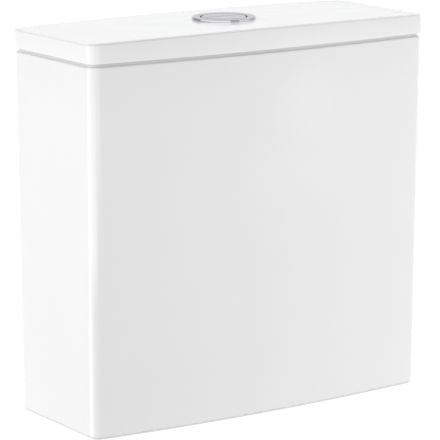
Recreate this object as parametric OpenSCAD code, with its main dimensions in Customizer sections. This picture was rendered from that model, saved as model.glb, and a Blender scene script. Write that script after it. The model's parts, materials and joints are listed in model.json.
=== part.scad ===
// Close-coupled toilet cistern: glazed tank and lid, twin flush button,
// drop valve with two lifting levers, and bottom-entry inlet valve.
// Millimetres. X is the width, the front faces -Y, Z is up, the tank's rim stands on Z = 0.

/* [Lid] */
// Width of the lid
lid_w = 370; // [350:1:410]
// Depth of the lid at its front corners
lid_d = 134; // [130:1:160]
// How far the front bulges forward at mid width
front_bow = 10; // [5:0.5:16]
// Height of the lid's edge
lid_h = 18.2; // [16:0.1:26]
// Rise of the lid's top at mid width
lid_crown = 2.2; // [0.5:0.1:5]
// Rounding of the lid's top edge
lid_edge_r = 3; // [1.5:0.5:5]
// Rounding of the lid's lower edge
lid_lip_r = 1.2; // [0.6:0.1:2]
// Thickness of the lid's top at its edge
lid_plate_t = 8.5; // [7:0.5:10]
// Overhang of the lid past the tank, front and sides
lid_overhang = 0.8; // [0.4:0.1:3]
// Depth of the locating rib under the lid
rib_h = 6; // [4:0.5:10]
// Thickness of the locating rib
rib_t = 6; // [4:0.5:8]

/* [Tank] */
// Height of the tank's outer walls
tank_h = 340; // [332:1:400]
// Draw-in of each side wall at the foot
side_taper = 3.1; // [0.5:0.1:6]
// Draw-in of the front wall at the foot
front_taper = 3.2; // [0.5:0.1:6]
// Radius of the front upright corners
front_corner_r = 8; // [6:0.5:14]
// Radius of the rear upright corners
rear_corner_r = 5; // [4.5:0.5:10]
// Thickness of the china walls
wall_t = 10; // [8:0.5:12]
// Thickness of the tank's floor
floor_t = 12; // [9:0.5:16]
// Height of the skirt under the floor
skirt_h = 34; // [32:1:44]
// Rounding of the foot's outer edge
foot_r = 2.5; // [1:0.5:4]
// Rounding of the shoulder under the lid
shoulder_r = 2; // [1:0.5:3]
// Radius of the upright corners inside the tank
inner_corner_r = 12; // [8:1:20]
// Rounding between the walls and floor inside
cove_r = 14; // [8:1:20]
// Height of the shadow gap under the lid
gap_h = 3.7; // [2:0.1:6]
// Depth of the shadow gap
gap_inset = 3.5; // [2:0.1:5]
// Distance between the two holes for the pan bolts
bolt_spacing = 150; // [135:1:170]
// Diameter of the holes for the pan bolts
bolt_hole_d = 13; // [10:0.5:16]

/* [Flush button] */
// Place of the button and the flush valve, behind the middle
button_y = 2.5; // [-4:0.5:6]
// Outer diameter of the bezel
bezel_d = 60; // [58:0.5:66]
// Height of the bezel
bezel_h = 2.3; // [1.8:0.1:4]
// Width of the inner lip of the bezel
bezel_lip = 2.2; // [1.2:0.1:3]
// Diameter of the round made by the two buttons
disc_d = 42.6; // [41:0.2:44]
// How far the two buttons sit below the bezel
disc_sink = 0.4; // [0.2:0.1:1]
// Thickness of a button's top
disc_t = 2.5; // [2:0.1:3]
// Depth of a button's skirt below its top
disc_skirt = 8; // [5:0.5:9]
// Thickness of a button's skirt
disc_wall = 1.6; // [1.2:0.1:2.2]
// Split between the buttons, behind the middle of the round
split_y = 3; // [0:0.5:4]
// Gap between the two buttons
split_gap = 0.8; // [0.5:0.1:1.2]
// Travel of a button
button_travel = 6; // [4:0.5:6.5]
// Thickness of the washer under the bezel
bezel_washer_t = 0.5; // [0.4:0.1:1]
// Wall of the threaded sleeve
sleeve_t = 1.8; // [1.4:0.1:2.4]
// Reach of the sleeve below the lid's top plate
sleeve_drop = 18; // [15:0.5:22]
// Height of the nut under the lid
button_nut_h = 9; // [6:0.5:10]
// Radius of the nut's body beyond the sleeve
button_nut_w = 8; // [6:0.5:10]
// Diameter of the plungers
plunger_d = 7; // [6:0.5:8]
// Reach of the plungers below the sleeve
plunger_out = 5; // [4:0.5:7]
// Thickness of the guide plate in the sleeve
guide_t = 3; // [2.5:0.5:4]
// Height of the tubes on the guide plate
guide_tube_h = 6; // [4:0.5:7]
// Wire of the return springs
spring_wire_d = 1; // [0.8:0.1:1.2]
// Curls of a return spring
spring_curls = 7; // [6:1:8]

/* [Flush valve] */
// Diameter of the outlet thread
tail_d = 59.6; // [56:0.2:62]
// Wall of the outlet's tail
tail_t = 5.8; // [5:0.1:8]
// Step from the valve seat's bore in to the outlet's bore
seat_step = 3; // [2.5:0.5:6]
// Width of the valve seat's lip
seat_lip = 1.6; // [1.2:0.1:2.4]
// Height of the valve seat's lip above the flange
seat_h = 4; // [3:0.5:6]
// Diameter of the base flange and basket
basket_d = 78; // [76:0.5:84]
// Wall of the basket
basket_t = 4.5; // [3.5:0.1:5]
// Thickness of the base flange
flange_t = 4; // [3:0.5:6]
// Height of the basket's windows
window_h = 28; // [22:1:30]
// Width of the basket's windows
window_w = 29; // [20:1:31]
// Height of the ring over the basket's windows
basket_ring_h = 10; // [8:0.5:12]
// Number of windows in the basket
windows = 6; // [5:1:7]
// Thickness of the sealing washers on the tank's floor
washer_t = 3; // [2:0.5:4]
// Height of the outlet's back nut
tail_nut_h = 12; // [9:0.5:14]
// Width of the back nut's ring
tail_nut_w = 8; // [6:0.5:9]
// Reach of the back nut's lugs
nut_lug = 3; // [2:0.5:4]
// Wall of the pan gasket around the nut
gasket_t = 12; // [9:0.5:14]
// Water space between the overflow tube and the outlet's bore
tube_room = 6; // [5.5:0.5:7]
// Wall of the overflow tube
overflow_t = 2; // [1.5:0.1:2.5]
// Reach of the flush seal past the valve seat's lip
seal_over = 2.4; // [1.4:0.1:3]
// Thickness of the flush seal
seal_t = 3; // [2:0.5:4]
// Thickness of the seal carrier's plate
carrier_t = 3; // [2:0.5:4]
// Height of the seal carrier's hub
carrier_hub_h = 8; // [5:0.5:12]
// Set-back of the tower's rails from the basket's edge
rail_inset = 1; // [0.8:0.1:1.5]
// Wall of the tower's rails
rail_t = 4.5; // [4:0.1:5]
// Width of the tower's rails
rail_w = 24; // [18:1:28]
// Thickness of the tower's lower plate
tower_plate_t = 4; // [3:0.5:6]
// Depth of the sockets that hold the rails' feet
rail_socket_h = 8; // [5:0.5:12]
// Wall of the sockets that hold the rails' feet
rail_socket_t = 2; // [1.5:0.1:3]
// Height of the tube guide on the lower plate
tube_guide_h = 10; // [8:0.5:14]
// Wall of the tube guide
tube_guide_t = 2.5; // [2:0.1:4]
// Water space between the floats and the rails
float_room = 3; // [2:0.5:6]
// How much slimmer the half flush float is
half_float_step = 2; // [0:0.5:4]
// Share of the floats' height in the half flush float
half_float_share = 0.5; // [0.4:0.05:0.6]
// Space between the tube guide and the full flush float
float_rest = 24; // [6:1:40]
// Space kept over a float or sleeve when it is lifted
lift_room = 6; // [4:0.5:8]
// Wall of the floats
float_wall = 2; // [1.5:0.1:2.5]

/* [Flush linkage] */
// Sideways offset of each push rod
rod_dx = 5; // [4.6:0.1:6]
// Front or rear offset of each push rod
rod_dy = 11; // [10:0.5:12]
// Diameter of the push rods
rod_d = 6.8; // [5.6:0.2:6.8]
// Diameter of the push rods' caps
rod_cap_d = 12; // [10.5:0.5:13]
// Height of the push rods' caps
rod_cap_h = 9; // [7:0.5:11]
// Height of the rod guides on the head
rod_guide_h = 8; // [6:0.5:10]
// Thickness of the head's deck
deck_t = 4; // [3:0.5:5]
// Depth of the head's deck
deck_w = 36; // [34:1:38]
// Lever pivots below the deck
pivot_drop = 12; // [11:0.5:14]
// Pressed arm of the levers
press_arm = 18; // [16:0.5:19]
// Lifting arm of the levers
lift_arm = 24; // [22:0.5:26]
// Width of the levers
lever_w = 7; // [5:0.5:7.5]
// Height of the levers' bars
lever_h = 4.8; // [4:0.2:5.4]
// Diameter of the levers' lifting tips
tip_d = 6; // [5.6:0.2:7]
// Diameter of the levers' pressed pads
pad_d = 7; // [6:0.5:8]
// Diameter of the levers' pivot bosses
boss_d = 10; // [8:0.5:11]
// Diameter of the lever pins
pin_d = 3.2; // [2.5:0.1:4]
// Thickness of the ears that hold the lever pins
ear_t = 2.6; // [2:0.1:3.5]
// Thickness of the lifting straps
strap_t = 3; // [2.5:0.1:4]
// Bar over a strap's window
strap_bar = 5; // [4:0.5:7]
// Side wall of a strap's window
strap_side = 2.8; // [2.2:0.1:3.5]
// Height of the lifting collar and its clip
collar_h = 8; // [6:0.5:10]
// Wall of the lifting collar and the half flush sleeve
collar_t = 4; // [3:0.5:5]
// Height of the half flush sleeve
half_sleeve_h = 16; // [12:1:18]
// Thickness of the feet under the lifting straps
strap_foot_t = 4; // [3:0.5:5]
// Thickness of the gussets beside the lifting straps
gusset_t = 2; // [1.5:0.5:3]
// Length of the head's legs above the rails, below the lever pivots
head_leg = 14; // [12:0.5:18]
// Grip of the head's clips on the rails
head_clip_h = 16; // [12:1:20]
// Top of the overflow tube below the lever pivots
overflow_drop = 24; // [20:0.5:28]
// Length of the overflow tube above the lifting collar
collar_drop = 6; // [4:0.5:8]

/* [Inlet valve] */
// Distance of the inlet from the side of the lid
inlet_edge = 50; // [46:1:58]
// Place of the inlet, behind the middle
inlet_y = 8; // [2:1:14]
// Diameter of the inlet thread
inlet_d = 20.96; // [20:0.02:22]
// Height of the inlet's back nut
inlet_nut_h = 9; // [7:0.5:11]
// Size across the flats of the inlet's back nut
inlet_nut_af = 34; // [32:0.5:36]
// Diameter of the inlet flange
inlet_flange_d = 36; // [34:0.5:40]
// Outside diameter of the inlet stem
stem_d = 22; // [21.6:0.1:23]
// Water way through the inlet stem
stem_bore_d = 10; // [8:0.5:12]
// Bore for the inlet filter
filter_d = 16; // [13:0.5:16.5]
// Length of the inlet filter
filter_h = 14; // [10:0.5:18]
// Height of the stem above the tank's floor
stem_top = 150; // [140:1:160]
// Start of the height sleeve above the tank's floor
sleeve_start = 54; // [46:1:60]
// End of the height sleeve above the tank's floor
sleeve_end = 194; // [186:1:202]
// Wall of the height sleeve
height_sleeve_t = 2.7; // [2.2:0.1:3.2]
// Height of the lock nut under the height sleeve
lock_nut_h = 12; // [9:0.5:14]
// Radius of the valve body
valve_body_r = 20; // [19:0.5:22]
// Height of the valve body
valve_body_h = 15; // [14:0.5:18]
// Wall of the valve cap's skirt
valve_cap_t = 2.2; // [1.8:0.1:3]
// Thickness of the valve cap's top
valve_cap_top = 8; // [7:0.5:10]
// Thickness of the diaphragm
diaphragm_t = 1.6; // [1.2:0.1:2]
// Depth of the height sleeve in the valve body
body_socket = 8; // [6:0.5:9]
// Thread of the valve cap on the valve body
cap_grip = 6; // [4:0.5:6]
// Float lever's pivot above the valve cap
float_pivot_rise = 12; // [11:0.5:14]
// Thickness of the ears that hold the float lever
float_ear_t = 3; // [2.5:0.1:4]
// Width of the float lever
float_lever_w = 8; // [6:0.5:9]
// Diameter of the float lever's boss
float_boss_d = 10; // [9:0.5:11]
// Distance of the discharge tube from the stem
discharge_dy = 27; // [26:0.5:30]
// Outside diameter of the discharge tube
discharge_d = 14; // [12:0.5:15]
// Wall of the discharge tube
discharge_t = 1.5; // [1.2:0.1:2]
// Height of the socket that holds the discharge tube
discharge_socket_h = 15; // [12:0.5:16]
// Plugged length of the discharge tube
discharge_plug = 10; // [8:0.5:11]
// Height of the discharge tube's mouth over the tank's floor
discharge_rise = 20; // [14:1:40]
// Travel of the float
float_travel = 14; // [10:0.5:15]
// Long arm of the float lever
float_arm = 38; // [36:0.5:40]
// Short arm of the float lever
pilot_arm = 10; // [9:0.5:11]
// Diameter of the float rod
float_rod_d = 4; // [3.5:0.1:4.5]
// Diameter of the barrel at the end of the float lever
barrel_d = 12; // [11.5:0.1:13]
// Cheeks of the barrel beside the float rod
barrel_cheek = 3.5; // [3:0.1:4.5]
// Length of the float rod above the barrel
float_rod_end = 10; // [8:0.5:12]
// Width of the collar under the barrel
float_rod_lip = 2.5; // [2:0.1:3]
// Height of the clip over the barrel
rod_clip_h = 7; // [6:0.5:8]
// Diameter of the pilot pin
pilot_d = 3; // [2.5:0.1:3.5]
// Width of the float
float_w = 46; // [40:1:48]
// Depth of the float
float_d = 54; // [46:1:58]
// Height of the float
float_h = 62; // [50:1:66]
// Rounding of the float's corners
float_r = 8; // [5:0.5:12]
// Space between the height sleeve and the float
float_gap = 5.5; // [4:0.5:7]
// Height of the float's guide on the height sleeve
float_guide_h = 40; // [30:1:50]
// Wall of the float's guide on the height sleeve
float_guide_t = 2.6; // [2:0.1:3.5]
// Width of the web between the float and its guide
float_web_w = 18; // [12:1:24]
// Height of the boss that holds the float rod
float_boss_h = 8; // [6:0.5:10]
// Top of the float above the tank's floor
float_top = 156; // [150:1:162]

/* [Clearances] */
// Gap between faces that meet across a joint
touch_gap = 0.3; // [0.2:0.05:0.4]
// Radial clearance of sliding rods and guides
slide_fit = 0.3; // [0.2:0.05:0.5]
// Radial clearance of turning pins
pin_fit = 0.05; // [0.03:0.01:0.08]
// Radial clearance of threaded and plugged pieces
thread_fit = 0.05; // [0.03:0.01:0.1]
// Radial clearance of pieces in the china's holes
china_fit = 1.6; // [1:0.1:2.5]
// Clearance of the lid's rib inside the tank's mouth
rib_fit = 2; // [1.5:0.1:3]
// Space kept between the ground and the pieces under the floor
ground_gap = 1.5; // [1:0.5:3]

/* [Hidden] */
$fn = 64;

// Overlap of cutting tools past the faces that they cut
cut = 1;
// Points on each upright corner, and along the bowed front
CORNER_N = 5;
FRONT_N = 16;

// Outlines of the china
lid_hw = lid_w / 2;
rear_y = (lid_d + front_bow) / 2;
bow_r = (pow(lid_hw, 2) + pow(front_bow, 2)) / (2 * front_bow);
tank_hw = lid_hw - lid_overhang;
tank_front = lid_overhang - rear_y;

// Levels, from the ground up
floor_top = skirt_h + floor_t;
flange_z = floor_top + washer_t;
basket_z = flange_z + flange_t;
seat_z = basket_z + seat_h;
tower_z = basket_z + window_h + basket_ring_h;
carrier_z = seat_z + seal_t;
tail_nut_z = skirt_h - tail_nut_h;
lid_z = tank_h + gap_h;
ceiling_z = lid_z + lid_h - lid_plate_t;
lid_top = lid_z + lid_h + lid_crown;
bezel_z = lid_top + bezel_washer_t;
disc_top = bezel_z + bezel_h - disc_sink;
disc_under = disc_top - disc_t;

// Button and linkage levels, from the lid down
sleeve_z = ceiling_z - sleeve_drop;
plunger_z = sleeve_z - plunger_out;
plunger_head_t = 2;
guide_flange_t = 2;
spring_z = sleeve_z + guide_t;
spring_top = disc_under - plunger_head_t;
rod_top = plunger_z - touch_gap;
rod_cap_z = rod_top - rod_cap_h;
rod_guide_z = rod_cap_z - button_travel - cut;
deck_top = rod_guide_z - rod_guide_h;
deck_z = deck_top - deck_t;
pivot_z = deck_z - pivot_drop;
rail_z = tower_z + tower_plate_t;
rail_top = pivot_z - head_leg;
overflow_z = pivot_z - overflow_drop;
collar_z = overflow_z - collar_h - collar_drop;
pressed = asin(button_travel / press_arm);
lift = lift_arm * sin(pressed);
half_sleeve_z = collar_z - lift - half_sleeve_h - lift_room;
full_float_z = tower_z + tube_guide_h + float_rest;
floats_h = half_sleeve_z - full_float_z - lift - lift_room;
half_float_h = floats_h * half_float_share;
full_float_h = floats_h - half_float_h;
half_float_z = half_sleeve_z - half_float_h;

// Bores and radii that pieces share
disc_r = disc_d / 2;
bezel_bore_r = disc_r + 0.6;
sleeve_in_r = bezel_bore_r + slide_fit;
sleeve_r = sleeve_in_r + sleeve_t;
lid_hole_r = sleeve_r + china_fit / 2;
guide_tube_r = plunger_d / 2 + slide_fit + 1.2;
spring_r = guide_tube_r + 0.7 + spring_wire_d / 2;
plunger_head_r = spring_r + spring_wire_d / 2 + 0.3;
outlet_r = tail_d / 2 - tail_t;
seat_bore_r = outlet_r + seat_step;
seat_r = seat_bore_r + seat_lip;
seal_r = seat_r + seal_over;
tube_r = outlet_r - tube_room;
tube_in_r = tube_r - overflow_t;
basket_r = basket_d / 2;
basket_in_r = basket_r - basket_t;
tower_r = basket_r - rail_inset;
rail_in_r = tower_r - rail_t;
full_float_r = rail_in_r - float_room;
half_float_r = full_float_r - half_float_step;
tail_hole_r = tail_d / 2 + china_fit;

// Lever places about the valve's axis
pivot_dy = press_arm - rod_dy;
tip_dy = pivot_dy + lift_arm;
lever_gap = rod_dx - lever_w / 2;
strap_in = tip_dy - strap_t / 2;
strap_out = tip_dy + strap_t / 2;
strap_hw = lever_w / 2 + slide_fit * 2 + strap_side;
window_top = pivot_z + tip_d / 2 + touch_gap;
window_z = pivot_z - tip_d / 2 - lift_arm * 0.28;

// Inlet valve levels and places
inlet_x = inlet_edge - lid_hw;
inlet_r = inlet_d / 2;
inlet_nut_z = skirt_h - inlet_nut_h;
inlet_pitch_r = inlet_r - 0.2;
inlet_hole_r = inlet_r + china_fit;
stem_r = stem_d / 2;
hs_in_r = stem_r + slide_fit;
hs_r = hs_in_r + height_sleeve_t;
hs_z = floor_top + sleeve_start;
hs_top = floor_top + sleeve_end;
valve_body_z = hs_top - body_socket;
valve_body_top = valve_body_z + valve_body_h;
diaphragm_r = valve_body_r - 2.2;
cap_r = valve_body_r + thread_fit + valve_cap_t;
cap_z = valve_body_top - cap_grip;
cap_in_top = valve_body_top + diaphragm_t + 0.2;
cap_top = cap_in_top + valve_cap_top;
float_pivot_z = cap_top + float_pivot_rise;
float_pivot_x = pilot_arm;
float_half = asin(float_travel / 2 / float_arm);
barrel_z = float_pivot_z - float_travel / 2;
float_rod_x = float_pivot_x + float_arm * (1 + cos(float_half)) / 2;
pilot_pad_d = 6;
pilot_travel = 2 * pilot_arm * sin(float_half);
pilot_top = float_pivot_z + pilot_travel / 2 - pilot_pad_d / 2 - touch_gap;
pilot_foot = cap_in_top + pilot_travel + 0.4;
float_top_z = floor_top + float_top;
float_x = hs_r + slide_fit + float_gap;

// Plan outlines

// Points on an arc
function arc(cx, cy, r, a0, a1, n) =
    [for (i = [0:n]) let (a = a0 + (a1 - a0) * i / n) [cx + r * cos(a), cy + r * sin(a)]];

// Bowed rectangle: left side, bowed front, right side, then the straight rear
function bowed(hw, front, bow, rear, rf, rr) =
    let (
        yc = front + bow,
        fx = hw - rf,
        fy = yc - sqrt(pow(bow - rf, 2) - fx * fx),
        phi = asin(fx / (bow - rf)),
        rx = hw - rr
    )
    concat(
        arc(-fx, fy, rf, 180, 270 - phi, CORNER_N),
        [for (i = [1:FRONT_N - 1]) let (a = 270 - phi + 2 * phi * i / FRONT_N)
            [bow * cos(a), yc + bow * sin(a)]],
        arc(fx, fy, rf, 270 + phi, 360, CORNER_N),
        arc(rx, rear - rr, rr, 0, 90, CORNER_N),
        [for (i = [1:FRONT_N - 1]) [rx * (1 - 2 * i / FRONT_N), rear]],
        arc(-rx, rear - rr, rr, 90, 180, CORNER_N)
    );

// Tank outline at a height, drawn in by an inset
function tank_outline(z, inset, rf, rr) =
    let (draw = 1 - z / tank_h)
    bowed(
        tank_hw - side_taper * draw - inset,
        tank_front + front_taper * draw + inset,
        bow_r - inset, rear_y - inset, rf, rr
    );

// Lid outline, drawn in by an inset
function lid_outline(inset) =
    bowed(lid_hw - inset, inset - rear_y, bow_r - inset, rear_y - inset,
          front_corner_r - inset, rear_corner_r - inset);

// A plan outline lifted to one level, or to a level that rises towards mid width
function level(outline, z) = [for (p = outline) [p.x, p.y, z]];
function crowned(outline, z) =
    [for (p = outline) [p.x, p.y, z + lid_crown * (1 - pow(p.x / lid_hw, 2))]];

// Solid through a stack of outlines with the same number of points
module loft(rings) {
    n = len(rings[0]);
    top = (len(rings) - 1) * n;
    half = n / 2;
    walls = [
        for (j = [0:len(rings) - 2], i = [0:n - 1])
            let (a = j * n + i, b = j * n + (i + 1) % n, c = b + n, d = a + n)
                each [[a, d, c], [a, c, b]]
    ];
    base = [
        for (i = [0:half - 2])
            let (a = i, b = i + 1, c = n - 2 - i, d = n - 1 - i)
                each [[a, b, c], [a, c, d]]
    ];
    roof = [for (t = base) [t[2] + top, t[1] + top, t[0] + top]];
    polyhedron(points = [for (r = rings) each r], faces = concat(walls, base, roof), convexity = 6);
}

// Flat-ended ring
module ring(r_out, r_in, z, h) {
    translate([0, 0, z])
        difference() {
            cylinder(r = r_out, h = h);
            translate([0, 0, -cut])
                cylinder(r = r_in, h = h + 2 * cut);
        }
}

// Rod standing at a level
module post(r, z, h) {
    translate([0, 0, z])
        cylinder(r = r, h = h);
}

// Rectangle with round corners
module rounded(w, d, r) {
    square([w - 2 * r, d], center = true);
    square([w, d - 2 * r], center = true);
    for (x = [-1, 1], y = [-1, 1])
        translate([x * (w / 2 - r), y * (d / 2 - r)])
            circle(r = r);
}

// Annular float cup, open below
module ring_float(r_out, r_in, z, h) {
    rotate_extrude()
        polygon([
            [r_in, z],
            [r_in + float_wall, z],
            [r_in + float_wall, z + h - float_wall],
            [r_out - float_wall, z + h - float_wall - 1],
            [r_out - float_wall, z],
            [r_out, z],
            [r_out, z + h - 4],
            [r_out - 1.2, z + h - 1.2],
            [r_out - 4, z + h],
            [r_in, z + h]
        ]);
}

// Profile in the YZ plane pulled along X, centred on x
module along_x(x, w) {
    translate([x - w / 2, 0, 0])
        rotate([90, 0, 90])
            linear_extrude(w)
                children();
}

// Profile in the XZ plane pulled along Y, centred on the axis
module along_y(w) {
    translate([0, w / 2, 0])
        rotate([90, 0, 0])
            linear_extrude(w)
                children();
}

module at_valve() {
    translate([0, button_y, 0])
        children();
}

module at_inlet() {
    translate([inlet_x, inlet_y, 0])
        children();
}

// China

module tank() {
    color("white")
        difference() {
            union() {
                loft(concat(
                    [for (a = [0:30:90])
                        let (z = foot_r * (1 - cos(a)), s = foot_r * (1 - sin(a)))
                            level(tank_outline(z, s, front_corner_r - s, rear_corner_r - s), z)],
                    [for (a = [0:30:90])
                        let (z = tank_h - shoulder_r * (1 - sin(a)), s = shoulder_r * (1 - cos(a)))
                            level(tank_outline(z, s, front_corner_r - s, rear_corner_r - s), z)]
                ));
                translate([0, 0, tank_h - cut])
                    linear_extrude(gap_h + cut)
                        polygon(tank_outline(tank_h, gap_inset,
                                             front_corner_r - gap_inset, rear_corner_r - gap_inset));
            }
            loft(concat(
                [for (a = [0:22.5:90])
                    let (z = floor_top + cove_r * (1 - cos(a)), s = wall_t + cove_r * (1 - sin(a)))
                        level(tank_outline(z, s, inner_corner_r, inner_corner_r), z)],
                [level(tank_outline(tank_h, wall_t, inner_corner_r, inner_corner_r), lid_z + cut)]
            ));
            translate([0, 0, -cut])
                linear_extrude(skirt_h + cut)
                    polygon(tank_outline(0, wall_t, inner_corner_r, inner_corner_r));
            at_valve()
                post(tail_hole_r, skirt_h - cut, floor_t + 2 * cut);
            for (x = [-1, 1])
                translate([x * bolt_spacing / 2, button_y, 0])
                    post(bolt_hole_d / 2, skirt_h - cut, floor_t + 2 * cut);
            at_inlet()
                post(inlet_hole_r, skirt_h - cut, floor_t + 2 * cut);
        }
}

module lid() {
    rib_out = wall_t + rib_fit;
    color("white")
        difference() {
            union() {
                loft(concat(
                    [for (a = [0:45:90])
                        let (s = lid_lip_r * (1 - sin(a)))
                            level(lid_outline(s), lid_z + lid_lip_r * (1 - cos(a)))],
                    [for (a = [0:22.5:90])
                        let (s = lid_edge_r * (1 - cos(a)))
                            crowned(lid_outline(s), lid_z + lid_h - lid_edge_r * (1 - sin(a)))]
                ));
                translate([0, 0, lid_z - rib_h])
                    linear_extrude(rib_h + cut)
                        polygon(tank_outline(tank_h, rib_out, inner_corner_r, inner_corner_r));
            }
            translate([0, 0, lid_z - rib_h - cut])
                linear_extrude(ceiling_z - lid_z + rib_h + cut)
                    polygon(tank_outline(tank_h, rib_out + rib_t, inner_corner_r, inner_corner_r));
            at_valve()
                post(lid_hole_r, ceiling_z - cut, lid_top - ceiling_z + 2 * cut);
        }
}

// Button on the lid

module bezel_washer() {
    color("dimgray")
        at_valve()
            ring(bezel_d / 2 - 1.5, sleeve_r + thread_fit, lid_top, bezel_washer_t);
}

module button_bezel() {
    r = bezel_d / 2;
    rise = bezel_h - 0.9;
    span = r - bezel_bore_r - bezel_lip;
    color("silver")
        at_valve()
            rotate_extrude()
                polygon(concat(
                    [[sleeve_in_r, sleeve_z], [sleeve_r, sleeve_z], [sleeve_r, bezel_z], [r, bezel_z]],
                    [for (a = [0:15:90]) [r - span * (1 - cos(a)), bezel_z + 0.9 + rise * sin(a)]],
                    [[bezel_bore_r + 0.5, bezel_z + bezel_h],
                     [bezel_bore_r, bezel_z + bezel_h - 0.5],
                     [bezel_bore_r, bezel_z - 0.8],
                     [sleeve_in_r, bezel_z - 0.8 - slide_fit]]
                ));
}

module button_nut() {
    r = sleeve_r + button_nut_w;
    color("whitesmoke")
        at_valve()
            difference() {
                union() {
                    post(r + 3, ceiling_z - 2.5, 2.5);
                    post(r, ceiling_z - button_nut_h, button_nut_h);
                    for (a = [0:45:315])
                        rotate(a)
                            translate([r - 1, -2.5, ceiling_z - button_nut_h])
                                cube([3, 5, button_nut_h]);
                }
                post(sleeve_r + thread_fit, ceiling_z - button_nut_h - cut, button_nut_h + 2 * cut);
            }
}

module button_guide() {
    color("gainsboro")
        at_valve()
            difference() {
                union() {
                    post(sleeve_r, sleeve_z - guide_flange_t, guide_flange_t);
                    post(sleeve_in_r - thread_fit, sleeve_z - cut, guide_t + cut);
                    for (s = [-1, 1])
                        translate([s * rod_dx, s * rod_dy, 0])
                            post(guide_tube_r, sleeve_z, guide_t + guide_tube_h);
                }
                for (s = [-1, 1])
                    translate([s * rod_dx, s * rod_dy, 0])
                        post(plunger_d / 2 + slide_fit, sleeve_z - guide_flange_t - cut,
                             guide_t + guide_tube_h + guide_flange_t + 2 * cut);
                for (s = [-1, 1])
                    translate([s * (disc_r - 8), -s * 7, 0])
                        post(4, sleeve_z - guide_flange_t - cut, guide_t + guide_flange_t + 2 * cut);
            }
}

// Part of the round button between two lines across it
module button_segment(y0, y1) {
    at_valve()
        intersection() {
            rotate_extrude()
                polygon([
                    [0, disc_under],
                    [disc_r - disc_wall, disc_under],
                    [disc_r - disc_wall, disc_under - disc_skirt],
                    [disc_r, disc_under - disc_skirt],
                    [disc_r, disc_top - 0.8],
                    [disc_r - 0.25, disc_top - 0.25],
                    [disc_r - 0.8, disc_top],
                    [0, disc_top]
                ]);
            translate([-disc_d, y0, disc_under - disc_skirt - cut])
                cube([2 * disc_d, y1 - y0, disc_t + disc_skirt + 2 * cut]);
        }
}

module full_button() {
    color("silver")
        button_segment(-disc_d, split_y - split_gap / 2);
}

module half_button() {
    color("silver")
        button_segment(split_y + split_gap / 2, disc_d);
}

// Plunger with a head that presses the spring
module plunger(s) {
    at_valve()
        translate([s * rod_dx, s * rod_dy, 0])
            rotate_extrude()
                polygon([
                    [0, plunger_z],
                    [plunger_d / 2 - 0.6, plunger_z],
                    [plunger_d / 2, plunger_z + 0.6],
                    [plunger_d / 2, disc_under - plunger_head_t],
                    [plunger_head_r, disc_under - plunger_head_t],
                    [plunger_head_r, disc_under],
                    [0, disc_under]
                ]);
}

module full_plunger() {
    color("whitesmoke")
        plunger(-1);
}

module half_plunger() {
    color("whitesmoke")
        plunger(1);
}

// Return springs: close end curls, open curls between, and straight ends
SPRING_RINGS = 8;
spring_close = spring_wire_d + 0.5;
spring_len = spring_top - spring_z - spring_wire_d - 2 * touch_gap;
spring_steps = spring_curls * SPRING_RINGS;
spring_pitch = (spring_len - 2 * spring_close) / (spring_curls - 2);

function spring_rise(t) =
    t < 1 ? t * spring_close :
    t > spring_curls - 1 ? spring_len - (spring_curls - t) * spring_close :
    spring_close + (t - 1) * spring_pitch;

function spring_point(i) =
    let (t = i / SPRING_RINGS)
    [spring_r * cos(360 * t), spring_r * sin(360 * t), spring_rise(t)];

function spring_path() = concat(
    [[spring_r, -spring_wire_d, 0]],
    [for (i = [0:spring_steps]) spring_point(i)],
    [[spring_r, spring_wire_d, spring_len]]
);

// Ring of points around a path's point, square to the path
function spring_ring(path, i) =
    let (
        a = path[max(i - 1, 0)],
        b = path[min(i + 1, len(path) - 1)],
        t = (b - a) / norm(b - a),
        u = [path[i].x, path[i].y, 0] / norm([path[i].x, path[i].y, 0]),
        v = cross(t, u) / norm(cross(t, u)),
        w = cross(v, t)
    )
    [for (k = [0:5]) path[i] + spring_wire_d / 2 * (cos(60 * k) * w + sin(60 * k) * v)];

module spring() {
    path = spring_path();
    n = len(path);
    walls = [
        for (i = [0:n - 2], k = [0:5])
            let (a = 6 * i + k, b = 6 * i + (k + 1) % 6, c = b + 6, d = a + 6)
                each [[a, c, b], [a, d, c]]
    ];
    ends = [
        for (k = [1:4])
            each [[0, k, k + 1], [6 * n - 6, 6 * n - 6 + k + 1, 6 * n - 6 + k]]
    ];
    polyhedron(points = [for (i = [0:n - 1]) each spring_ring(path, i)],
               faces = concat(walls, ends), convexity = 8);
}

spring_self = min([
    for (i = [0:spring_steps], j = [0:spring_steps])
        if (j - i > SPRING_RINGS / 2) norm(spring_point(j) - spring_point(i))
]) - spring_wire_d;
echo(spring_least_gap = spring_self);

module button_spring(s) {
    at_valve()
        translate([s * rod_dx, s * rod_dy, spring_z + spring_wire_d / 2 + touch_gap])
            spring();
}

module full_button_spring() {
    color("lightsteelblue")
        button_spring(-1);
}

module half_button_spring() {
    color("lightsteelblue")
        button_spring(1);
}

// Flush valve in the tank

module flush_valve_base() {
    r = basket_r;
    color("whitesmoke")
        at_valve()
            difference() {
                union() {
                    post(tail_d / 2, ground_gap, flange_z - ground_gap + cut);
                    post(r, flange_z, flange_t);
                    rotate_extrude()
                        polygon([
                            [seat_bore_r - cut, flange_z + cut],
                            [seat_r + 2, flange_z + cut],
                            [seat_r + 2, basket_z],
                            [seat_r, seat_z - 0.6],
                            [seat_r - 0.5, seat_z],
                            [seat_bore_r - cut, seat_z]
                        ]);
                    difference() {
                        post(r, flange_z, tower_z - flange_z);
                        post(basket_in_r, flange_z - cut, tower_z - flange_z + 2 * cut);
                        for (i = [0:windows - 1])
                            rotate(360 / windows * i)
                                translate([0, -window_w / 2, basket_z])
                                    cube([basket_d, window_w, window_h]);
                        snap_cuts(3 + slide_fit, slide_fit);
                    }
                }
                post(outlet_r, ground_gap - cut, seat_z);
                post(seat_bore_r, flange_z, seat_z - flange_z + cut);
            }
}

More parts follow.
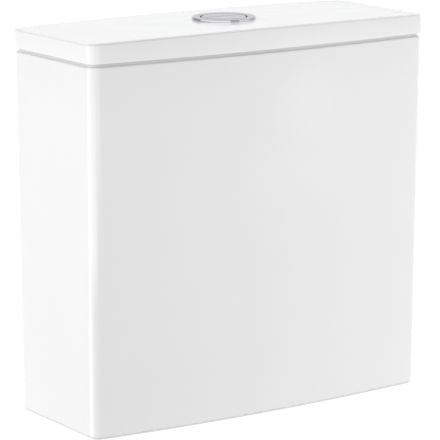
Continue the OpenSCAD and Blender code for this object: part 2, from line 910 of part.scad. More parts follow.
// Three snap lugs, or the holes that take them when grown by a clearance
module snap_cuts(hw, grow) {
    lug_z = tower_z - basket_ring_h / 2;
    for (a = [30:120:270])
        rotate(a)
            translate([basket_in_r - 2, -hw, lug_z - 1.5 - grow])
                cube([basket_t + 2 + grow * 4, 2 * hw, 3 + 2 * grow]);
}

module flush_valve_washer() {
    color("dimgray")
        at_valve()
            ring(basket_r + 2, tail_d / 2 + slide_fit, floor_top, washer_t);
}

module flush_valve_backnut() {
    r = tail_d / 2 + tail_nut_w;
    color("gainsboro")
        at_valve()
            difference() {
                union() {
                    post(r, tail_nut_z, tail_nut_h);
                    for (a = [0:45:315])
                        rotate(a)
                            translate([r - 2, -4, tail_nut_z])
                                cube([2 + nut_lug, 8, tail_nut_h]);
                }
                post(tail_d / 2 + thread_fit, tail_nut_z - cut, tail_nut_h + 2 * cut);
            }
}

module pan_gasket() {
    nut_r = tail_d / 2 + tail_nut_w + nut_lug + 1;
    tail_r = tail_d / 2 + slide_fit;
    z = 2 * ground_gap;
    color("dimgray")
        at_valve()
            rotate_extrude()
                polygon([
                    [tail_r + 1.5, z],
                    [nut_r + gasket_t - 7, z],
                    [nut_r + gasket_t - 4, z + 2],
                    [nut_r + gasket_t, skirt_h - 3],
                    [nut_r + gasket_t - 1, skirt_h],
                    [nut_r, skirt_h],
                    [nut_r, tail_nut_z - slide_fit],
                    [tail_r, tail_nut_z - slide_fit],
                    [tail_r, z + 1.5]
                ]);
}

module valve_tower() {
    guide_r = tube_r + slide_fit;
    color("aliceblue")
        at_valve() {
            ring(basket_in_r - thread_fit, basket_in_r - 2.6, tower_z - basket_ring_h,
                 basket_ring_h + cut);
            intersection() {
                snap_cuts(3, 0);
                ring(basket_r, basket_in_r - 1.5, tower_z - basket_ring_h, basket_ring_h);
            }
            difference() {
                union() {
                    ring(basket_r, basket_in_r - 4, tower_z, tower_plate_t);
                    post(guide_r + tube_guide_t, tower_z, tube_guide_h);
                    for (a = [0:60:120])
                        rotate(a)
                            translate([2 - basket_in_r, -2, tower_z])
                                cube([2 * basket_in_r - 4, 4, tower_plate_t]);
                }
                post(guide_r, tower_z - cut, tube_guide_h + 2 * cut);
            }
            // Sockets for the feet of the rails
            difference() {
                intersection() {
                    ring(basket_r, rail_in_r - rail_socket_t, tower_z + cut,
                         tower_plate_t + rail_socket_h - cut);
                    across(rail_w + 2 * rail_socket_t);
                }
                intersection() {
                    ring(tower_r + thread_fit, rail_in_r - thread_fit, rail_z, rail_socket_h + cut);
                    across(rail_w + 2 * thread_fit);
                }
            }
        }
}

// Upright slab across the valve, to cut rings into arcs
module across(w) {
    translate([-basket_d, -w / 2, 0])
        cube([2 * basket_d, w, tank_h]);
}

// Upright rail with moulded height marks
module rail(s) {
    color("aliceblue")
        at_valve() {
            intersection() {
                ring(tower_r, rail_in_r, rail_z, rail_top - rail_z);
                translate([s > 0 ? 0 : -basket_d, -rail_w / 2, 0])
                    cube([basket_d, rail_w, tank_h]);
            }
            for (i = [0:7])
                translate([s * (tower_r - 0.3), 0, rail_z + (rail_top - rail_z) * (0.25 + 0.065 * i)])
                    cube([1.4, i % 2 == 0 ? 10 : 6, 1], center = true);
        }
}

module left_rail() {
    rail(-1);
}

module right_rail() {
    rail(1);
}

module valve_head() {
    ear_z = pivot_z - boss_d / 2 - 1;
    ear_x = rod_dx + lever_w / 2 + touch_gap;
    ear_d = 2 * pivot_dy + boss_d;
    color("deepskyblue")
        at_valve()
            difference() {
                union() {
                    intersection() {
                        post(tower_r + 2, deck_z, deck_t);
                        translate([-2 * tower_r, -deck_w / 2, deck_z - cut])
                            cube([4 * tower_r, deck_w, deck_t + 2 * cut]);
                    }
                    intersection() {
                        ring(tower_r, rail_in_r, rail_top, deck_z - rail_top + cut);
                        across(rail_w);
                    }
                    // Clips that grip the rails
                    intersection() {
                        ring(tower_r + 2.2, tower_r, rail_top - head_clip_h,
                             deck_z - rail_top + head_clip_h + cut);
                        across(rail_w / 2);
                    }
                    for (s = [-1, 1])
                        translate([s * (ear_x + ear_t / 2) - ear_t / 2, -ear_d / 2, ear_z])
                            cube([ear_t, ear_d, deck_z - ear_z + cut]);
                    translate([touch_gap - lever_gap, -ear_d / 2, ear_z])
                        cube([2 * (lever_gap - touch_gap), ear_d, deck_z - ear_z + cut]);
                    for (s = [-1, 1])
                        translate([s * rod_dx, s * rod_dy, 0])
                            post(rod_d / 2 + slide_fit + 2.4, deck_z, deck_t + rod_guide_h);
                    // Ribs from the rod guides to the deck's ends
                    for (s = [-1, 1])
                        translate([s > 0 ? rod_dx : 2 - tower_r, s * rod_dy - 1, deck_top - cut])
                            cube([tower_r - rod_dx - 2, 2, cut + rod_guide_h / 2]);
                }
                for (s = [-1, 1])
                    translate([s * rod_dx, s * rod_dy, 0])
                        post(rod_d / 2 + slide_fit, deck_z - cut, deck_t + rod_guide_h + 2 * cut);
                for (s = [-1, 1])
                    translate([-s * rod_dx, s * pivot_dy, pivot_z])
                        rotate([0, 90, 0])
                            cylinder(d = pin_d + 2 * pin_fit, h = 2 * lever_w + 4 * ear_t, center = true);
                for (s = [-1, 1])
                    translate([s * (tower_r - 14), -s * 2, deck_z - cut])
                        cylinder(r = 5, h = deck_t + 2 * cut);
            }
}

// Pin between an outer ear and the middle ear
module lever_pin(s) {
    reach = rod_dx + lever_w / 2 + touch_gap + ear_t;
    at_valve()
        translate([s > 0 ? touch_gap - lever_gap : -reach, -s * pivot_dy, pivot_z])
            rotate([0, 90, 0])
                cylinder(d = pin_d, h = reach + lever_gap - touch_gap);
}

module full_lever_pin() {
    color("slategray")
        lever_pin(-1);
}

module half_lever_pin() {
    color("slategray")
        lever_pin(1);
}

// Lever outline from its pressed pad to its lifting tip, pivot at the origin
module lever_profile() {
    h = lever_h / 2;
    circle(d = boss_d);
    translate([-press_arm, 0])
        circle(d = pad_d);
    translate([lift_arm, 0])
        circle(d = tip_d);
    polygon([[-press_arm, -h], [0, -h - 1], [lift_arm, -h], [lift_arm, h], [0, h + 1], [-press_arm, h]]);
}

module lever(s) {
    at_valve()
        rotate(s > 0 ? 180 : 0)
            translate([0, pivot_dy, pivot_z])
                difference() {
                    along_x(-rod_dx, lever_w)
                        lever_profile();
                    rotate([0, 90, 0])
                        cylinder(d = pin_d + 2 * pin_fit, h = 4 * lever_w + 4 * rod_dx, center = true);
                }
}

module full_lever() {
    color("dodgerblue")
        lever(-1);
}

module half_lever() {
    color("deepskyblue")
        lever(1);
}

// Push rod with a flat foot over the lever's pad
module push_rod(s) {
    z = pivot_z + pad_d / 2 + touch_gap;
    at_valve()
        translate([s * rod_dx, s * rod_dy, 0])
            post(rod_d / 2, z, rod_top - 2 - z);
}

module full_push_rod() {
    color("whitesmoke")
        push_rod(-1);
}

module half_push_rod() {
    color("whitesmoke")
        push_rod(1);
}

// Adjusting cap screwed on a push rod
module rod_cap(s) {
    r = rod_cap_d / 2;
    at_valve()
        translate([s * rod_dx, s * rod_dy, 0])
            difference() {
                rotate_extrude()
                    polygon([
                        [0, rod_cap_z], [r, rod_cap_z], [r, rod_top - 2],
                        [r - 0.6, rod_top - 0.6], [r - 2, rod_top], [0, rod_top]
                    ]);
                post(rod_d / 2 + thread_fit, rod_cap_z - cut, rod_cap_h - 2 + cut);
                for (a = [0:45:315])
                    rotate(a)
                        translate([r + 0.3, 0, 0])
                            post(0.9, rod_cap_z - cut, rod_cap_h + 2 * cut);
            }
}

module full_rod_cap() {
    color("dodgerblue")
        rod_cap(-1);
}

module half_rod_cap() {
    color("deepskyblue")
        rod_cap(1);
}

module overflow_tube() {
    color("aliceblue")
        at_valve()
            rotate_extrude()
                polygon([
                    [tube_in_r, seat_z - seal_t],
                    [tube_r, seat_z - seal_t],
                    [tube_r, overflow_z - 0.6],
                    [tube_r - 0.6, overflow_z],
                    [tube_in_r + 0.6, overflow_z],
                    [tube_in_r, overflow_z - 0.6]
                ]);
}

// Plate over the flush seal, with a hub on the foot of the tube
module seal_carrier() {
    bore = tube_r + thread_fit;
    plate = carrier_z + carrier_t;
    color("gainsboro")
        at_valve()
            rotate_extrude()
                polygon([
                    [bore, carrier_z],
                    [seal_r - 0.5, carrier_z],
                    [seal_r, carrier_z + 0.5],
                    [seal_r, plate - 0.5],
                    [bore + 6, plate + 1],
                    [bore + carrier_t, plate + carrier_hub_h - 1],
                    [bore + carrier_t - 1, plate + carrier_hub_h],
                    [bore, plate + carrier_hub_h]
                ]);
}

module flush_seal() {
    color("firebrick")
        at_valve()
            ring(seal_r, tube_r + thread_fit, seat_z, seal_t);
}

module seal_retainer() {
    r = seat_bore_r - 2;
    color("gainsboro")
        at_valve()
            difference() {
                union() {
                    post(r, seat_z - seal_t, seal_t);
                    post(tube_r + 3, seat_z - seal_t - 1, seal_t);
                }
                post(tube_r + thread_fit, seat_z - seal_t, seal_t + cut);
                post(tube_in_r, seat_z - seal_t - cut - 1, seal_t + 2 * cut);
                for (a = [0:90:270])
                    rotate(a)
                        translate([r, -2, seat_z - seal_t - 2 * cut])
                            cube([4, 4, seal_t + 4 * cut], center = false);
            }
}

// Strap with a window that takes a lever's tip; it stands on a foot that reaches the tube
module strap(x, z) {
    translate([x - strap_hw, strap_in, z])
        difference() {
            cube([2 * strap_hw, strap_t, window_top + strap_bar - z]);
            translate([strap_side, -cut, window_z - z])
                cube([2 * (strap_hw - strap_side), strap_t + 2 * cut, window_top - window_z]);
            // Slot that lightens the strap below its window
            if (window_z - z > 4 * strap_bar)
                translate([strap_side + 1.5, -cut, 2 * strap_foot_t])
                    cube([2 * (strap_hw - strap_side - 1.5), strap_t + 2 * cut,
                          window_z - z - 2 * strap_foot_t - strap_bar]);
        }
}

module strap_foot(x, z, h) {
    translate([x - strap_hw, tube_in_r, z])
        cube([2 * strap_hw, strap_out - tube_in_r, h]);
}

module lift_collar() {
    color("dodgerblue")
        at_valve()
            difference() {
                union() {
                    post(tube_r + collar_t, collar_z, collar_h);
                    strap_foot(-rod_dx, collar_z, strap_foot_t);
                    strap(-rod_dx, collar_z);
                    for (s = [-1, 1])
                        translate([s * (strap_hw - gusset_t / 2) - rod_dx - gusset_t / 2,
                                   tube_r + 1, collar_z])
                            cube([gusset_t, strap_in - tube_r, collar_h]);
                }
                post(tube_r + thread_fit, collar_z - cut, collar_h + 2 * cut);
            }
}

module half_sleeve() {
    color("deepskyblue")
        at_valve()
            rotate(180)
                difference() {
                    union() {
                        post(tube_r + slide_fit + collar_t, half_sleeve_z, half_sleeve_h);
                        strap_foot(-rod_dx, half_sleeve_z, strap_foot_t);
                        strap(-rod_dx, half_sleeve_z);
                        for (s = [-1, 1])
                            translate([s * (strap_hw - gusset_t / 2) - rod_dx - gusset_t / 2,
                                       tube_r + 2, half_sleeve_z])
                                cube([gusset_t, strap_in - tube_r - 1, half_sleeve_h]);
                    }
                    post(tube_r + slide_fit, half_sleeve_z - cut, half_sleeve_h + 2 * cut);
                }
}

module full_float() {
    color("white")
        at_valve()
            ring_float(full_float_r, tube_r + thread_fit, full_float_z, full_float_h);
}

module half_float() {
    color("white")
        at_valve()
            ring_float(half_float_r, tube_r + slide_fit, half_float_z, half_float_h);
}

// Inlet valve in the tank

module inlet_stem() {
    color("whitesmoke")
        at_inlet()
            difference() {
                union() {
                    post(inlet_r, 2 * ground_gap, inlet_nut_z - 2 * ground_gap);
                    // Inside the nut the thread is drawn at its pitch radius
                    post(inlet_pitch_r, inlet_nut_z - cut, flange_z - inlet_nut_z + 2 * cut);
                    post(inlet_flange_d / 2, flange_z, flange_t);
                    post(stem_r, flange_z, stem_top + floor_top - flange_z);
                    for (a = [0:60:300])
                        rotate(a)
                            translate([stem_r - 1, -1, basket_z - cut])
                                cube([inlet_flange_d / 2 - stem_r, 2, 8]);
                }
                post(stem_bore_d / 2, ground_gap, stem_top + floor_top);
                post(filter_d / 2, ground_gap, ground_gap + filter_h);
            }
}

module inlet_washer() {
    color("dimgray")
        at_inlet()
            ring(inlet_flange_d / 2 + 1, inlet_pitch_r + slide_fit, floor_top, washer_t);
}

module inlet_backnut() {
    color("gainsboro")
        at_inlet()
            difference() {
                union() {
                    translate([0, 0, inlet_nut_z])
                        cylinder(d = inlet_nut_af / cos(30), h = inlet_nut_h, $fn = 6);
                    post(inlet_nut_af / 2 + 4, skirt_h - 2.5, 2.5);
                }
                post(inlet_pitch_r + thread_fit, inlet_nut_z - cut, inlet_nut_h + 2 * cut);
            }
}

module inlet_filter() {
    r = filter_d / 2 - thread_fit;
    color("deepskyblue")
        at_inlet()
            difference() {
                post(r, 2 * ground_gap, filter_h);
                post(r - 1.4, ground_gap, filter_h - 0.5);
                post(1.5, ground_gap, filter_h + 2 * ground_gap);
                for (a = [0:60:300], i = [0:2])
                    rotate(a)
                        translate([r - 3, -1.2, 2 * ground_gap + 3 + i * (filter_h - 4) / 3])
                            cube([6, 2.4, (filter_h - 4) / 3 - 1.2]);
            }
}

module height_lock_nut() {
    color("deepskyblue")
        at_inlet()
            difference() {
                union() {
                    post(hs_r + 1, hs_z - lock_nut_h, lock_nut_h);
                    for (a = [0:30:330])
                        rotate(a)
                            translate([hs_r, -1.4, hs_z - lock_nut_h])
                                cube([2.4, 2.8, lock_nut_h - 2]);
                }
                post(stem_r + thread_fit, hs_z - lock_nut_h - cut, lock_nut_h + 2 * cut);
            }
}

module height_sleeve() {
    color("aliceblue")
        at_inlet()
            difference() {
                union() {
                    post(hs_r, hs_z, hs_top - hs_z);
                    post(hs_r + 1.6, hs_z, 8);
                }
                post(hs_in_r, hs_z - cut, hs_top - hs_z + 2 * cut);
            }
}

module inlet_valve_body() {
    socket_z = cap_z - slide_fit - discharge_socket_h;
    color("whitesmoke")
        at_inlet()
            difference() {
                union() {
                    post(valve_body_r, valve_body_z, valve_body_h);
                    translate([0, discharge_dy, 0])
                        post(discharge_d / 2 + 2, socket_z, discharge_socket_h);
                    translate([-discharge_d / 2, 0, valve_body_z])
                        cube([discharge_d, discharge_dy, cap_z - slide_fit - valve_body_z]);
                }
                post(hs_r + thread_fit, valve_body_z - cut, body_socket + cut);
                post(stem_bore_d / 2, valve_body_z, valve_body_h + cut);
                post(valve_body_r - 4, valve_body_top - 3, 3 + cut);
                translate([0, discharge_dy, 0])
                    post(discharge_d / 2 + thread_fit, socket_z - cut, discharge_plug + cut);
            }
}

module inlet_diaphragm() {
    color("dimgray")
        at_inlet()
            difference() {
                post(diaphragm_r, valve_body_top, diaphragm_t);
                for (a = [45, 225])
                    rotate(a)
                        translate([diaphragm_r * 0.6, 0, 0])
                            post(1, valve_body_top - cut, diaphragm_t + 2 * cut);
            }
}

module inlet_valve_cap() {
    ear_w = float_lever_w + 2 * touch_gap;
    ear_h = float_pivot_z - cap_top;
    ear_r = float_boss_d / 2;
    color("deepskyblue")
        at_inlet()
            difference() {
                union() {
                    rotate_extrude()
                        polygon([
                            [0, cap_z], [cap_r, cap_z], [cap_r, cap_top - 4],
                            [cap_r - 1.2, cap_top - 1.2], [cap_r - 4, cap_top], [0, cap_top]
                        ]);
                    for (a = [15:30:345])
                        rotate(a)
                            translate([cap_r - 1, -1.5, cap_z])
                                cube([2.2, 3, cap_top - cap_z - 5]);
                    for (s = [-1, 1])
                        translate([float_pivot_x, s * (ear_w + float_ear_t) / 2, cap_top - cut])
                            along_y(float_ear_t) {
                                translate([0, ear_h + cut])
                                    circle(r = ear_r);
                                polygon([[-ear_r - 2, 0], [ear_r + 2, 0],
                                         [ear_r, ear_h + cut], [-ear_r, ear_h + cut]]);
                            }
                }
                post(valve_body_r + thread_fit, cap_z - cut, valve_body_top - cap_z + cut);
                post(diaphragm_r + 0.2, cap_z, cap_in_top - cap_z);
                post(pilot_d / 2 + slide_fit, cap_z, cap_top - cap_z + cut);
                translate([float_pivot_x, 0, float_pivot_z])
                    rotate([90, 0, 0])
                        cylinder(d = pin_d + 2 * pin_fit, h = 2 * cap_r, center = true);
            }
}

module float_lever_pin() {
    color("slategray")
        at_inlet()
            translate([float_pivot_x, 0, float_pivot_z])
                rotate([90, 0, 0])
                    cylinder(d = pin_d, h = float_lever_w + 2 * float_ear_t + 2 * touch_gap, center = true);
}

module discharge_tube() {
    z = floor_top + discharge_rise;
    top = cap_z - slide_fit - discharge_socket_h + discharge_plug;
    color("white")
        at_inlet()
            translate([0, discharge_dy, 0])
                difference() {
                    ring(discharge_d / 2, discharge_d / 2 - discharge_t, z, top - z);
                    translate([-discharge_d, 0, z])
                        rotate([35, 0, 0])
                            translate([0, -discharge_d, -discharge_d])
                                cube([2 * discharge_d, 2 * discharge_d, discharge_d]);
                }
}

module float_cup() {
    inner = float_r - float_wall;
    cx = float_x + float_w / 2;
    z = float_top_z - float_h;
    guide_z = float_top_z - float_guide_h;
    color("white")
        at_inlet()
            difference() {
                union() {
                    translate([cx, 0, z])
                        linear_extrude(float_h)
                            rounded(float_w, float_d, float_r);
                    post(hs_r + slide_fit + float_guide_t, guide_z, float_guide_h);
                    translate([0, -float_web_w / 2, guide_z])
                        cube([float_x + 1, float_web_w, float_guide_h]);
                    translate([float_rod_x, 0, 0])
                        post(float_rod_d / 2 + 3, float_top_z - cut, float_boss_h + cut);
                }
                translate([cx, 0, z - cut])
                    linear_extrude(float_h - 2.5 + cut)
                        rounded(float_w - 2 * float_wall, float_d - 2 * float_wall, inner);
                post(hs_r + slide_fit, guide_z - cut, float_guide_h + 2 * cut);
                translate([float_rod_x, 0, 0])
                    post(float_rod_d / 2 + thread_fit, float_top_z, float_boss_h + cut);
            }
}

module float_rod() {
    r = float_rod_d / 2;
    collar = barrel_z - barrel_d / 2 - touch_gap;
    top = barrel_z + barrel_d / 2 + float_rod_end;
    color("slategray")
        at_inlet()
            translate([float_rod_x, 0, 0])
                rotate_extrude()
                    polygon([
                        [0, float_top_z], [r, float_top_z],
                        [r, collar - float_rod_lip], [r + float_rod_lip, collar - float_rod_lip / 2],
                        [r + float_rod_lip, collar], [r, collar],
                        [r, top - 0.6], [r - 0.6, top], [0, top]
                    ]);
}

module float_rod_clip() {
    r = float_rod_d / 2;
    z = barrel_z + barrel_d / 2 + touch_gap;
    color("deepskyblue")
        at_inlet()
            translate([float_rod_x, 0, 0])
                difference() {
                    union() {
                        post(r + 3.2, z, 2);
                        post(r + 2, z, rod_clip_h);
                        for (s = [-1, 1])
                            translate([-1.2, s > 0 ? r + 1 : -r - 6, z])
                                cube([2.4, 5, rod_clip_h - 1]);
                    }
                    post(r + thread_fit, z - cut, rod_clip_h + 2 * cut);
                }
}

module float_lever() {
    h = float_lever_w / 3;
    slot = float_rod_d / 2 + float_arm * (1 - cos(float_half)) / 2
        + barrel_d / 2 * tan(float_half) + slide_fit;
    color("dodgerblue")
        at_inlet()
            translate([float_pivot_x, 0, float_pivot_z])
                rotate([0, float_half, 0])
                    difference() {
                        union() {
                            along_y(float_lever_w) {
                                circle(d = float_boss_d);
                                translate([-pilot_arm, 0])
                                    circle(d = pilot_pad_d);
                                polygon([[-pilot_arm, -h / 2], [0, -h - 1], [float_arm - 2, -h],
                                         [float_arm - 2, h], [0, h + 1], [-pilot_arm, h]]);
                            }
                            along_y(float_rod_d + 2 * barrel_cheek)
                                translate([float_arm, 0])
                                    circle(d = barrel_d);
                        }
                        rotate([90, 0, 0])
                            cylinder(d = pin_d + 2 * pin_fit, h = 2 * float_lever_w, center = true);
                        translate([float_arm - slot, -float_rod_d / 2 - slide_fit, -barrel_d])
                            cube([2 * slot, float_rod_d + 2 * slide_fit, 2 * barrel_d]);
                    }
}

module pilot_pin() {
    r = pilot_d / 2;
    color("slategray")
        at_inlet()
            rotate_extrude()
                polygon([
                    [0, pilot_foot], [r, pilot_foot], [r, pilot_top - 3], [r + 1.2, pilot_top - 3],
                    [r + 1.2, pilot_top - 0.6], [r + 0.6, pilot_top], [0, pilot_top]
                ]);
}

tank();
flush_valve_base();
flush_valve_washer();
flush_valve_backnut();
pan_gasket();
valve_tower();
left_rail();
right_rail();
valve_head();
full_lever_pin();
half_lever_pin();
inlet_stem();
inlet_washer();
inlet_backnut();
inlet_filter();
height_lock_nut();
height_sleeve();
inlet_valve_body();
inlet_diaphragm();
inlet_valve_cap();
float_lever_pin();
discharge_tube();
lid();
bezel_washer();
button_bezel();
button_guide();
button_nut();
full_button_spring();
half_button_spring();
full_button();
full_plunger();
half_button();
half_plunger();
full_push_rod();
full_rod_cap();
half_push_rod();
half_rod_cap();
full_lever();
half_lever();
overflow_tube();
seal_carrier();
flush_seal();
seal_retainer();
lift_collar();
full_float();
half_sleeve();
half_float();
float_cup();
float_rod();
float_rod_clip();
float_lever();
pilot_pin();
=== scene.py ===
"""Looks of a close-coupled toilet cistern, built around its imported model.

Sizes are metres in the model's frame: X is the width, the front faces -Y, Z is up and the rim stands on Z = 0.
"""

import json
import math

import bmesh
import bpy
from bpy.props import FloatProperty, FloatVectorProperty, IntProperty, PointerProperty
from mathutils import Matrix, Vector


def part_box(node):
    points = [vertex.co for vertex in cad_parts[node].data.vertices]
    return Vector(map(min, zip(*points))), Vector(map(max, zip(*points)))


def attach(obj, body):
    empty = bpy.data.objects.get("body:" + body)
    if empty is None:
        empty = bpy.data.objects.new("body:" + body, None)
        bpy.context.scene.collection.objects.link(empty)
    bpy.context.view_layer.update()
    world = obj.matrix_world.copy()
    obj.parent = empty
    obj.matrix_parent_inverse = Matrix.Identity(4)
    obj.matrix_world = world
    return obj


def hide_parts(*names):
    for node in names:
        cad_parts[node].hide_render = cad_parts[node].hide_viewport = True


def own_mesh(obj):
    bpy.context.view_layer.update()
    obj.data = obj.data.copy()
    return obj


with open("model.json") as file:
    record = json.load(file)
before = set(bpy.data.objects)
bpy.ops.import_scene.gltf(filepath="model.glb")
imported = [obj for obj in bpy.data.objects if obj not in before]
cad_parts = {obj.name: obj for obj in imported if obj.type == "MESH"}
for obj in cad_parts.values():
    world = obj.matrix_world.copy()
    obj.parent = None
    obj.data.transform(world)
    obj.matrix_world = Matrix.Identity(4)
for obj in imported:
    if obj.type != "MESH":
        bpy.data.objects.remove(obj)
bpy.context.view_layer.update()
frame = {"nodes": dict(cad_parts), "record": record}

bl_info = {
    "name": "Toilet cistern",
    "version": (1, 0, 0),
    "blender": (4, 5, 0),
    "location": "View3D > Sidebar > Cistern",
    "description": "Glazed tank and lid, chrome flush button and the valves of a close-coupled cistern",
    "category": "Object",
}

MM = 0.001
TANK_LOW, TANK_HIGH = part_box("tank")
LID_LOW, LID_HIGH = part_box("lid")
BEZEL_LOW, BEZEL_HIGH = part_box("button_bezel")
STEM_LOW, STEM_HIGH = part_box("inlet_stem")
VALVE_Y = (BEZEL_LOW.y + BEZEL_HIGH.y) / 2
INLET_X = (STEM_LOW.x + STEM_HIGH.x) / 2
INLET_Y = (STEM_LOW.y + STEM_HIGH.y) / 2


# Settings

def length(name, description, default):
    """A size in metres that the sidebar shows with its unit."""
    return FloatProperty(name=name, description=description, default=default, unit="LENGTH", precision=4)


def share(name, description, default):
    """A number from nought to one."""
    return FloatProperty(name=name, description=description, default=default, subtype="FACTOR", min=0, max=1)


def colour(name, description, default):
    """A colour that the sidebar shows as a swatch."""
    return FloatVectorProperty(name=name, description=description, default=default, subtype="COLOR", min=0, max=1)


class CisternChina(bpy.types.PropertyGroup):
    """Sizes and glaze of the tank and lid."""

    wall: length("Wall", "Thickness of the tank's walls", 10 * MM)
    floor_under: length("Skirt", "Height of the hollow under the tank's floor", 34 * MM)
    floor_top: length("Floor", "Level of the tank's floor inside", 46 * MM)
    shoulder: length("Shoulder", "Level of the ledge under the shadow gap", 340.9 * MM)
    swell: length("Side swell", "Extra width of each side over the plain solid", 0.8 * MM)
    side_taper: length("Side taper", "Draw-in of each side at the foot", 3.1 * MM)
    front_taper: length("Front taper", "Draw-in of the front at the foot", 3.2 * MM)
    bow: length("Front bow", "How far the front bulges at mid width", 10 * MM)
    front_corner: length("Front corners", "Radius of the upright front corners", 8 * MM)
    rear_corner: length("Rear corners", "Radius of the upright rear corners", 5 * MM)
    inner_corner: length("Inner corners", "Radius of the upright corners inside", 12 * MM)
    cove: length("Cove", "Rounding between the walls and floor inside", 14 * MM)
    foot_edge: length("Foot edge", "Rounding of the foot's outer edge", 2.5 * MM)
    shoulder_edge: length("Shoulder edge", "Rounding of the shoulder under the lid", 1.8 * MM)
    gap_inset: length("Gap inset", "Depth of the shadow gap under the lid", 2.4 * MM)
    neck_cove: length("Neck cove", "Rounding at the bottom of the shadow gap", 0.8 * MM)
    lid_height: length("Lid height", "Height of the lid's edge", 18.2 * MM)
    crown: length("Crown", "Rise of the lid's top at mid width", 2.2 * MM)
    lid_edge: length("Lid edge", "Rounding of the lid's top edge", 2.4 * MM)
    lid_lip: length("Lid lip", "Rounding of the lid's lower edge", 0.6 * MM)
    lid_plate: length("Lid plate", "Thickness of the lid's top at its edge", 8.5 * MM)
    rib_inset: length("Rib inset", "Set-back of the locating rib from the tank's outside", 12 * MM)
    rib: length("Rib", "Thickness of the locating rib", 6 * MM)
    soft_edge: length("Soft edge", "Rounding that the glaze leaves on small edges", 0.9 * MM)
    bolt_spacing: length("Bolt spacing", "Distance between the holes for the pan bolts", 150 * MM)
    bolt_hole: length("Bolt holes", "Radius of the holes for the pan bolts", 6.5 * MM)
    outlet_hole: length("Outlet hole", "Radius of the floor's hole for the flush valve", 31.4 * MM)
    inlet_hole: length("Inlet hole", "Radius of the floor's hole for the inlet", 12.08 * MM)
    button_hole: length("Button hole", "Radius of the lid's hole for the button", 24.8 * MM)
    glaze: colour("Glaze", "Colour of the glaze", (0.785, 0.786, 0.784))
    # Painted shade: how much darker the glaze is made along the lid's front edge, where the top turns to the front.
    edge_shade: share("Edge shade", "How much darker the glaze is where it runs thin over the lid's front edge", 0.08)
    # Bare china at the foot and the neck, darker than real bisque: partly painted shade along the foot's edge and in
    # the shadow gap.
    bisque_and_shade: colour("Bisque", "Colour of the bare china at the foot and the neck", (0.575, 0.575, 0.575))
    gloss: share("Roughness", "Roughness of the glaze", 0.12)
    ripple: length("Ripple", "Depth of the glaze's slow ripple", 0.04 * MM)


class CisternButton(bpy.types.PropertyGroup):
    """Sizes and finish of the twin flush button."""

    disc: length("Disc", "Radius of the round made by the two buttons", 20.95 * MM)
    split: length("Split", "Place of the split behind the middle of the round", 3 * MM)
    split_gap: length("Split gap", "Gap between the two buttons", 0.8 * MM)
    split_corner: length("Split corners", "Rounding of the buttons' corners at the split", 1.5 * MM)
    edge: length("Edge", "Rounding of the buttons' top edge", 0.5 * MM)
    thread: length("Thread", "Pitch of the sleeve's thread", 2 * MM)
    chrome: colour("Chrome", "Colour of the plating", (0.60, 0.60, 0.645))
    # Near-black: bare plastic that is also painted shade down inside the bezel, in the gap round the buttons.
    unplated_and_shade: colour("Unplated plastic", "Colour of the bare plastic inside the bezel", (0.02, 0.02, 0.022))
    polish: share("Roughness", "Roughness of the plating", 0.05)


class CisternWorks(bpy.types.PropertyGroup):
    """Finishes of the flush valve and the inlet valve."""

    white: colour("White plastic", "Colour of the white mouldings", (0.84, 0.84, 0.82))
    pale: colour("Pale plastic", "Colour of the pale mouldings", (0.66, 0.71, 0.75))
    grey: colour("Grey plastic", "Colour of the grey mouldings", (0.36, 0.37, 0.38))
    blue: colour("Blue plastic", "Colour of the blue mouldings", (0.045, 0.22, 0.52))
    dark_blue: colour("Dark blue plastic", "Colour of the dark blue mouldings", (0.012, 0.05, 0.21))
    rubber: colour("Rubber", "Colour of the washers and the gasket", (0.018, 0.018, 0.019))
    silicone: colour("Silicone", "Colour of the flush seal", (0.42, 0.035, 0.025))
    steel: colour("Steel", "Colour of the pins, rod and springs", (0.55, 0.55, 0.54))
    rod_thread: length("Rod thread", "Pitch of the thread on the push rods", 1.5 * MM)
    turns: IntProperty(name="Spring curls", description="Curls of a return spring", default=7, min=3)


class CisternStage(bpy.types.PropertyGroup):
    """Floor, light and camera."""

    floor: colour("Floor", "Colour of the floor", (0.06, 0.06, 0.06))
    floor_glow: FloatProperty(name="Floor glow", description="Light that the lit floor gives off", default=0.965)
    room: FloatProperty(name="Room", description="Brightness of the room at eye level", default=0.9)
    ceiling: FloatProperty(name="Ceiling", description="Brightness of the ceiling mirrored in the chrome", default=0.5)
    backdrop: colour("Backdrop", "Light of the backdrop behind the cistern", (0.92, 0.92, 0.93))
    left: FloatProperty(name="Left light", description="Strength of the soft light on the left", default=1.56)
    front: FloatProperty(name="Front light", description="Power of the soft light at the front right", default=3.98)
    front_place: FloatVectorProperty(name="Front light place", description="Place of the light at the front right",
                                     subtype="XYZ", default=(0.80, -1.02, 0.12))
    top: FloatProperty(name="Top light", description="Strength of the soft light overhead", default=3.0)
    card: FloatProperty(name="Bright board", description="Glow mirrored in the front left corner", default=2.9)
    window: FloatProperty(name="Windows", description="Glow of the windows mirrored in the chrome", default=1.35)
    wall: FloatProperty(name="Walls", description="Glow of the walls between the windows", default=0.62)
    flag: FloatProperty(name="Grey board", description="Glow mirrored in the right edge", default=0.8)
    eye: FloatVectorProperty(name="Camera", description="Place of the camera", subtype="XYZ",
                             default=(-1.4242, -2.1024, 0.6965))
    target: FloatVectorProperty(name="Target", description="Point that the camera looks at", subtype="XYZ",
                                default=(-0.0027, 0.0053, 0.1724))
    roll: FloatProperty(name="Roll", description="Turn of the camera about its view", subtype="ANGLE",
                        default=math.radians(-0.087))
    lens: FloatProperty(name="Lens", description="Focal length in millimetres", default=224.49)


# Outlines

CORNER_STEPS = 8
FRONT_STEPS = 40
FILLET_STEPS = 6
ROUND_STEPS = 96
WALL_STEPS = 8


def arc(cx, cy, r, start, end, steps):
    """Points on an arc, angles in degrees."""
    angles = [math.radians(start + (end - start) * i / steps) for i in range(steps + 1)]
    return [(cx + r * math.cos(a), cy + r * math.sin(a)) for a in angles]


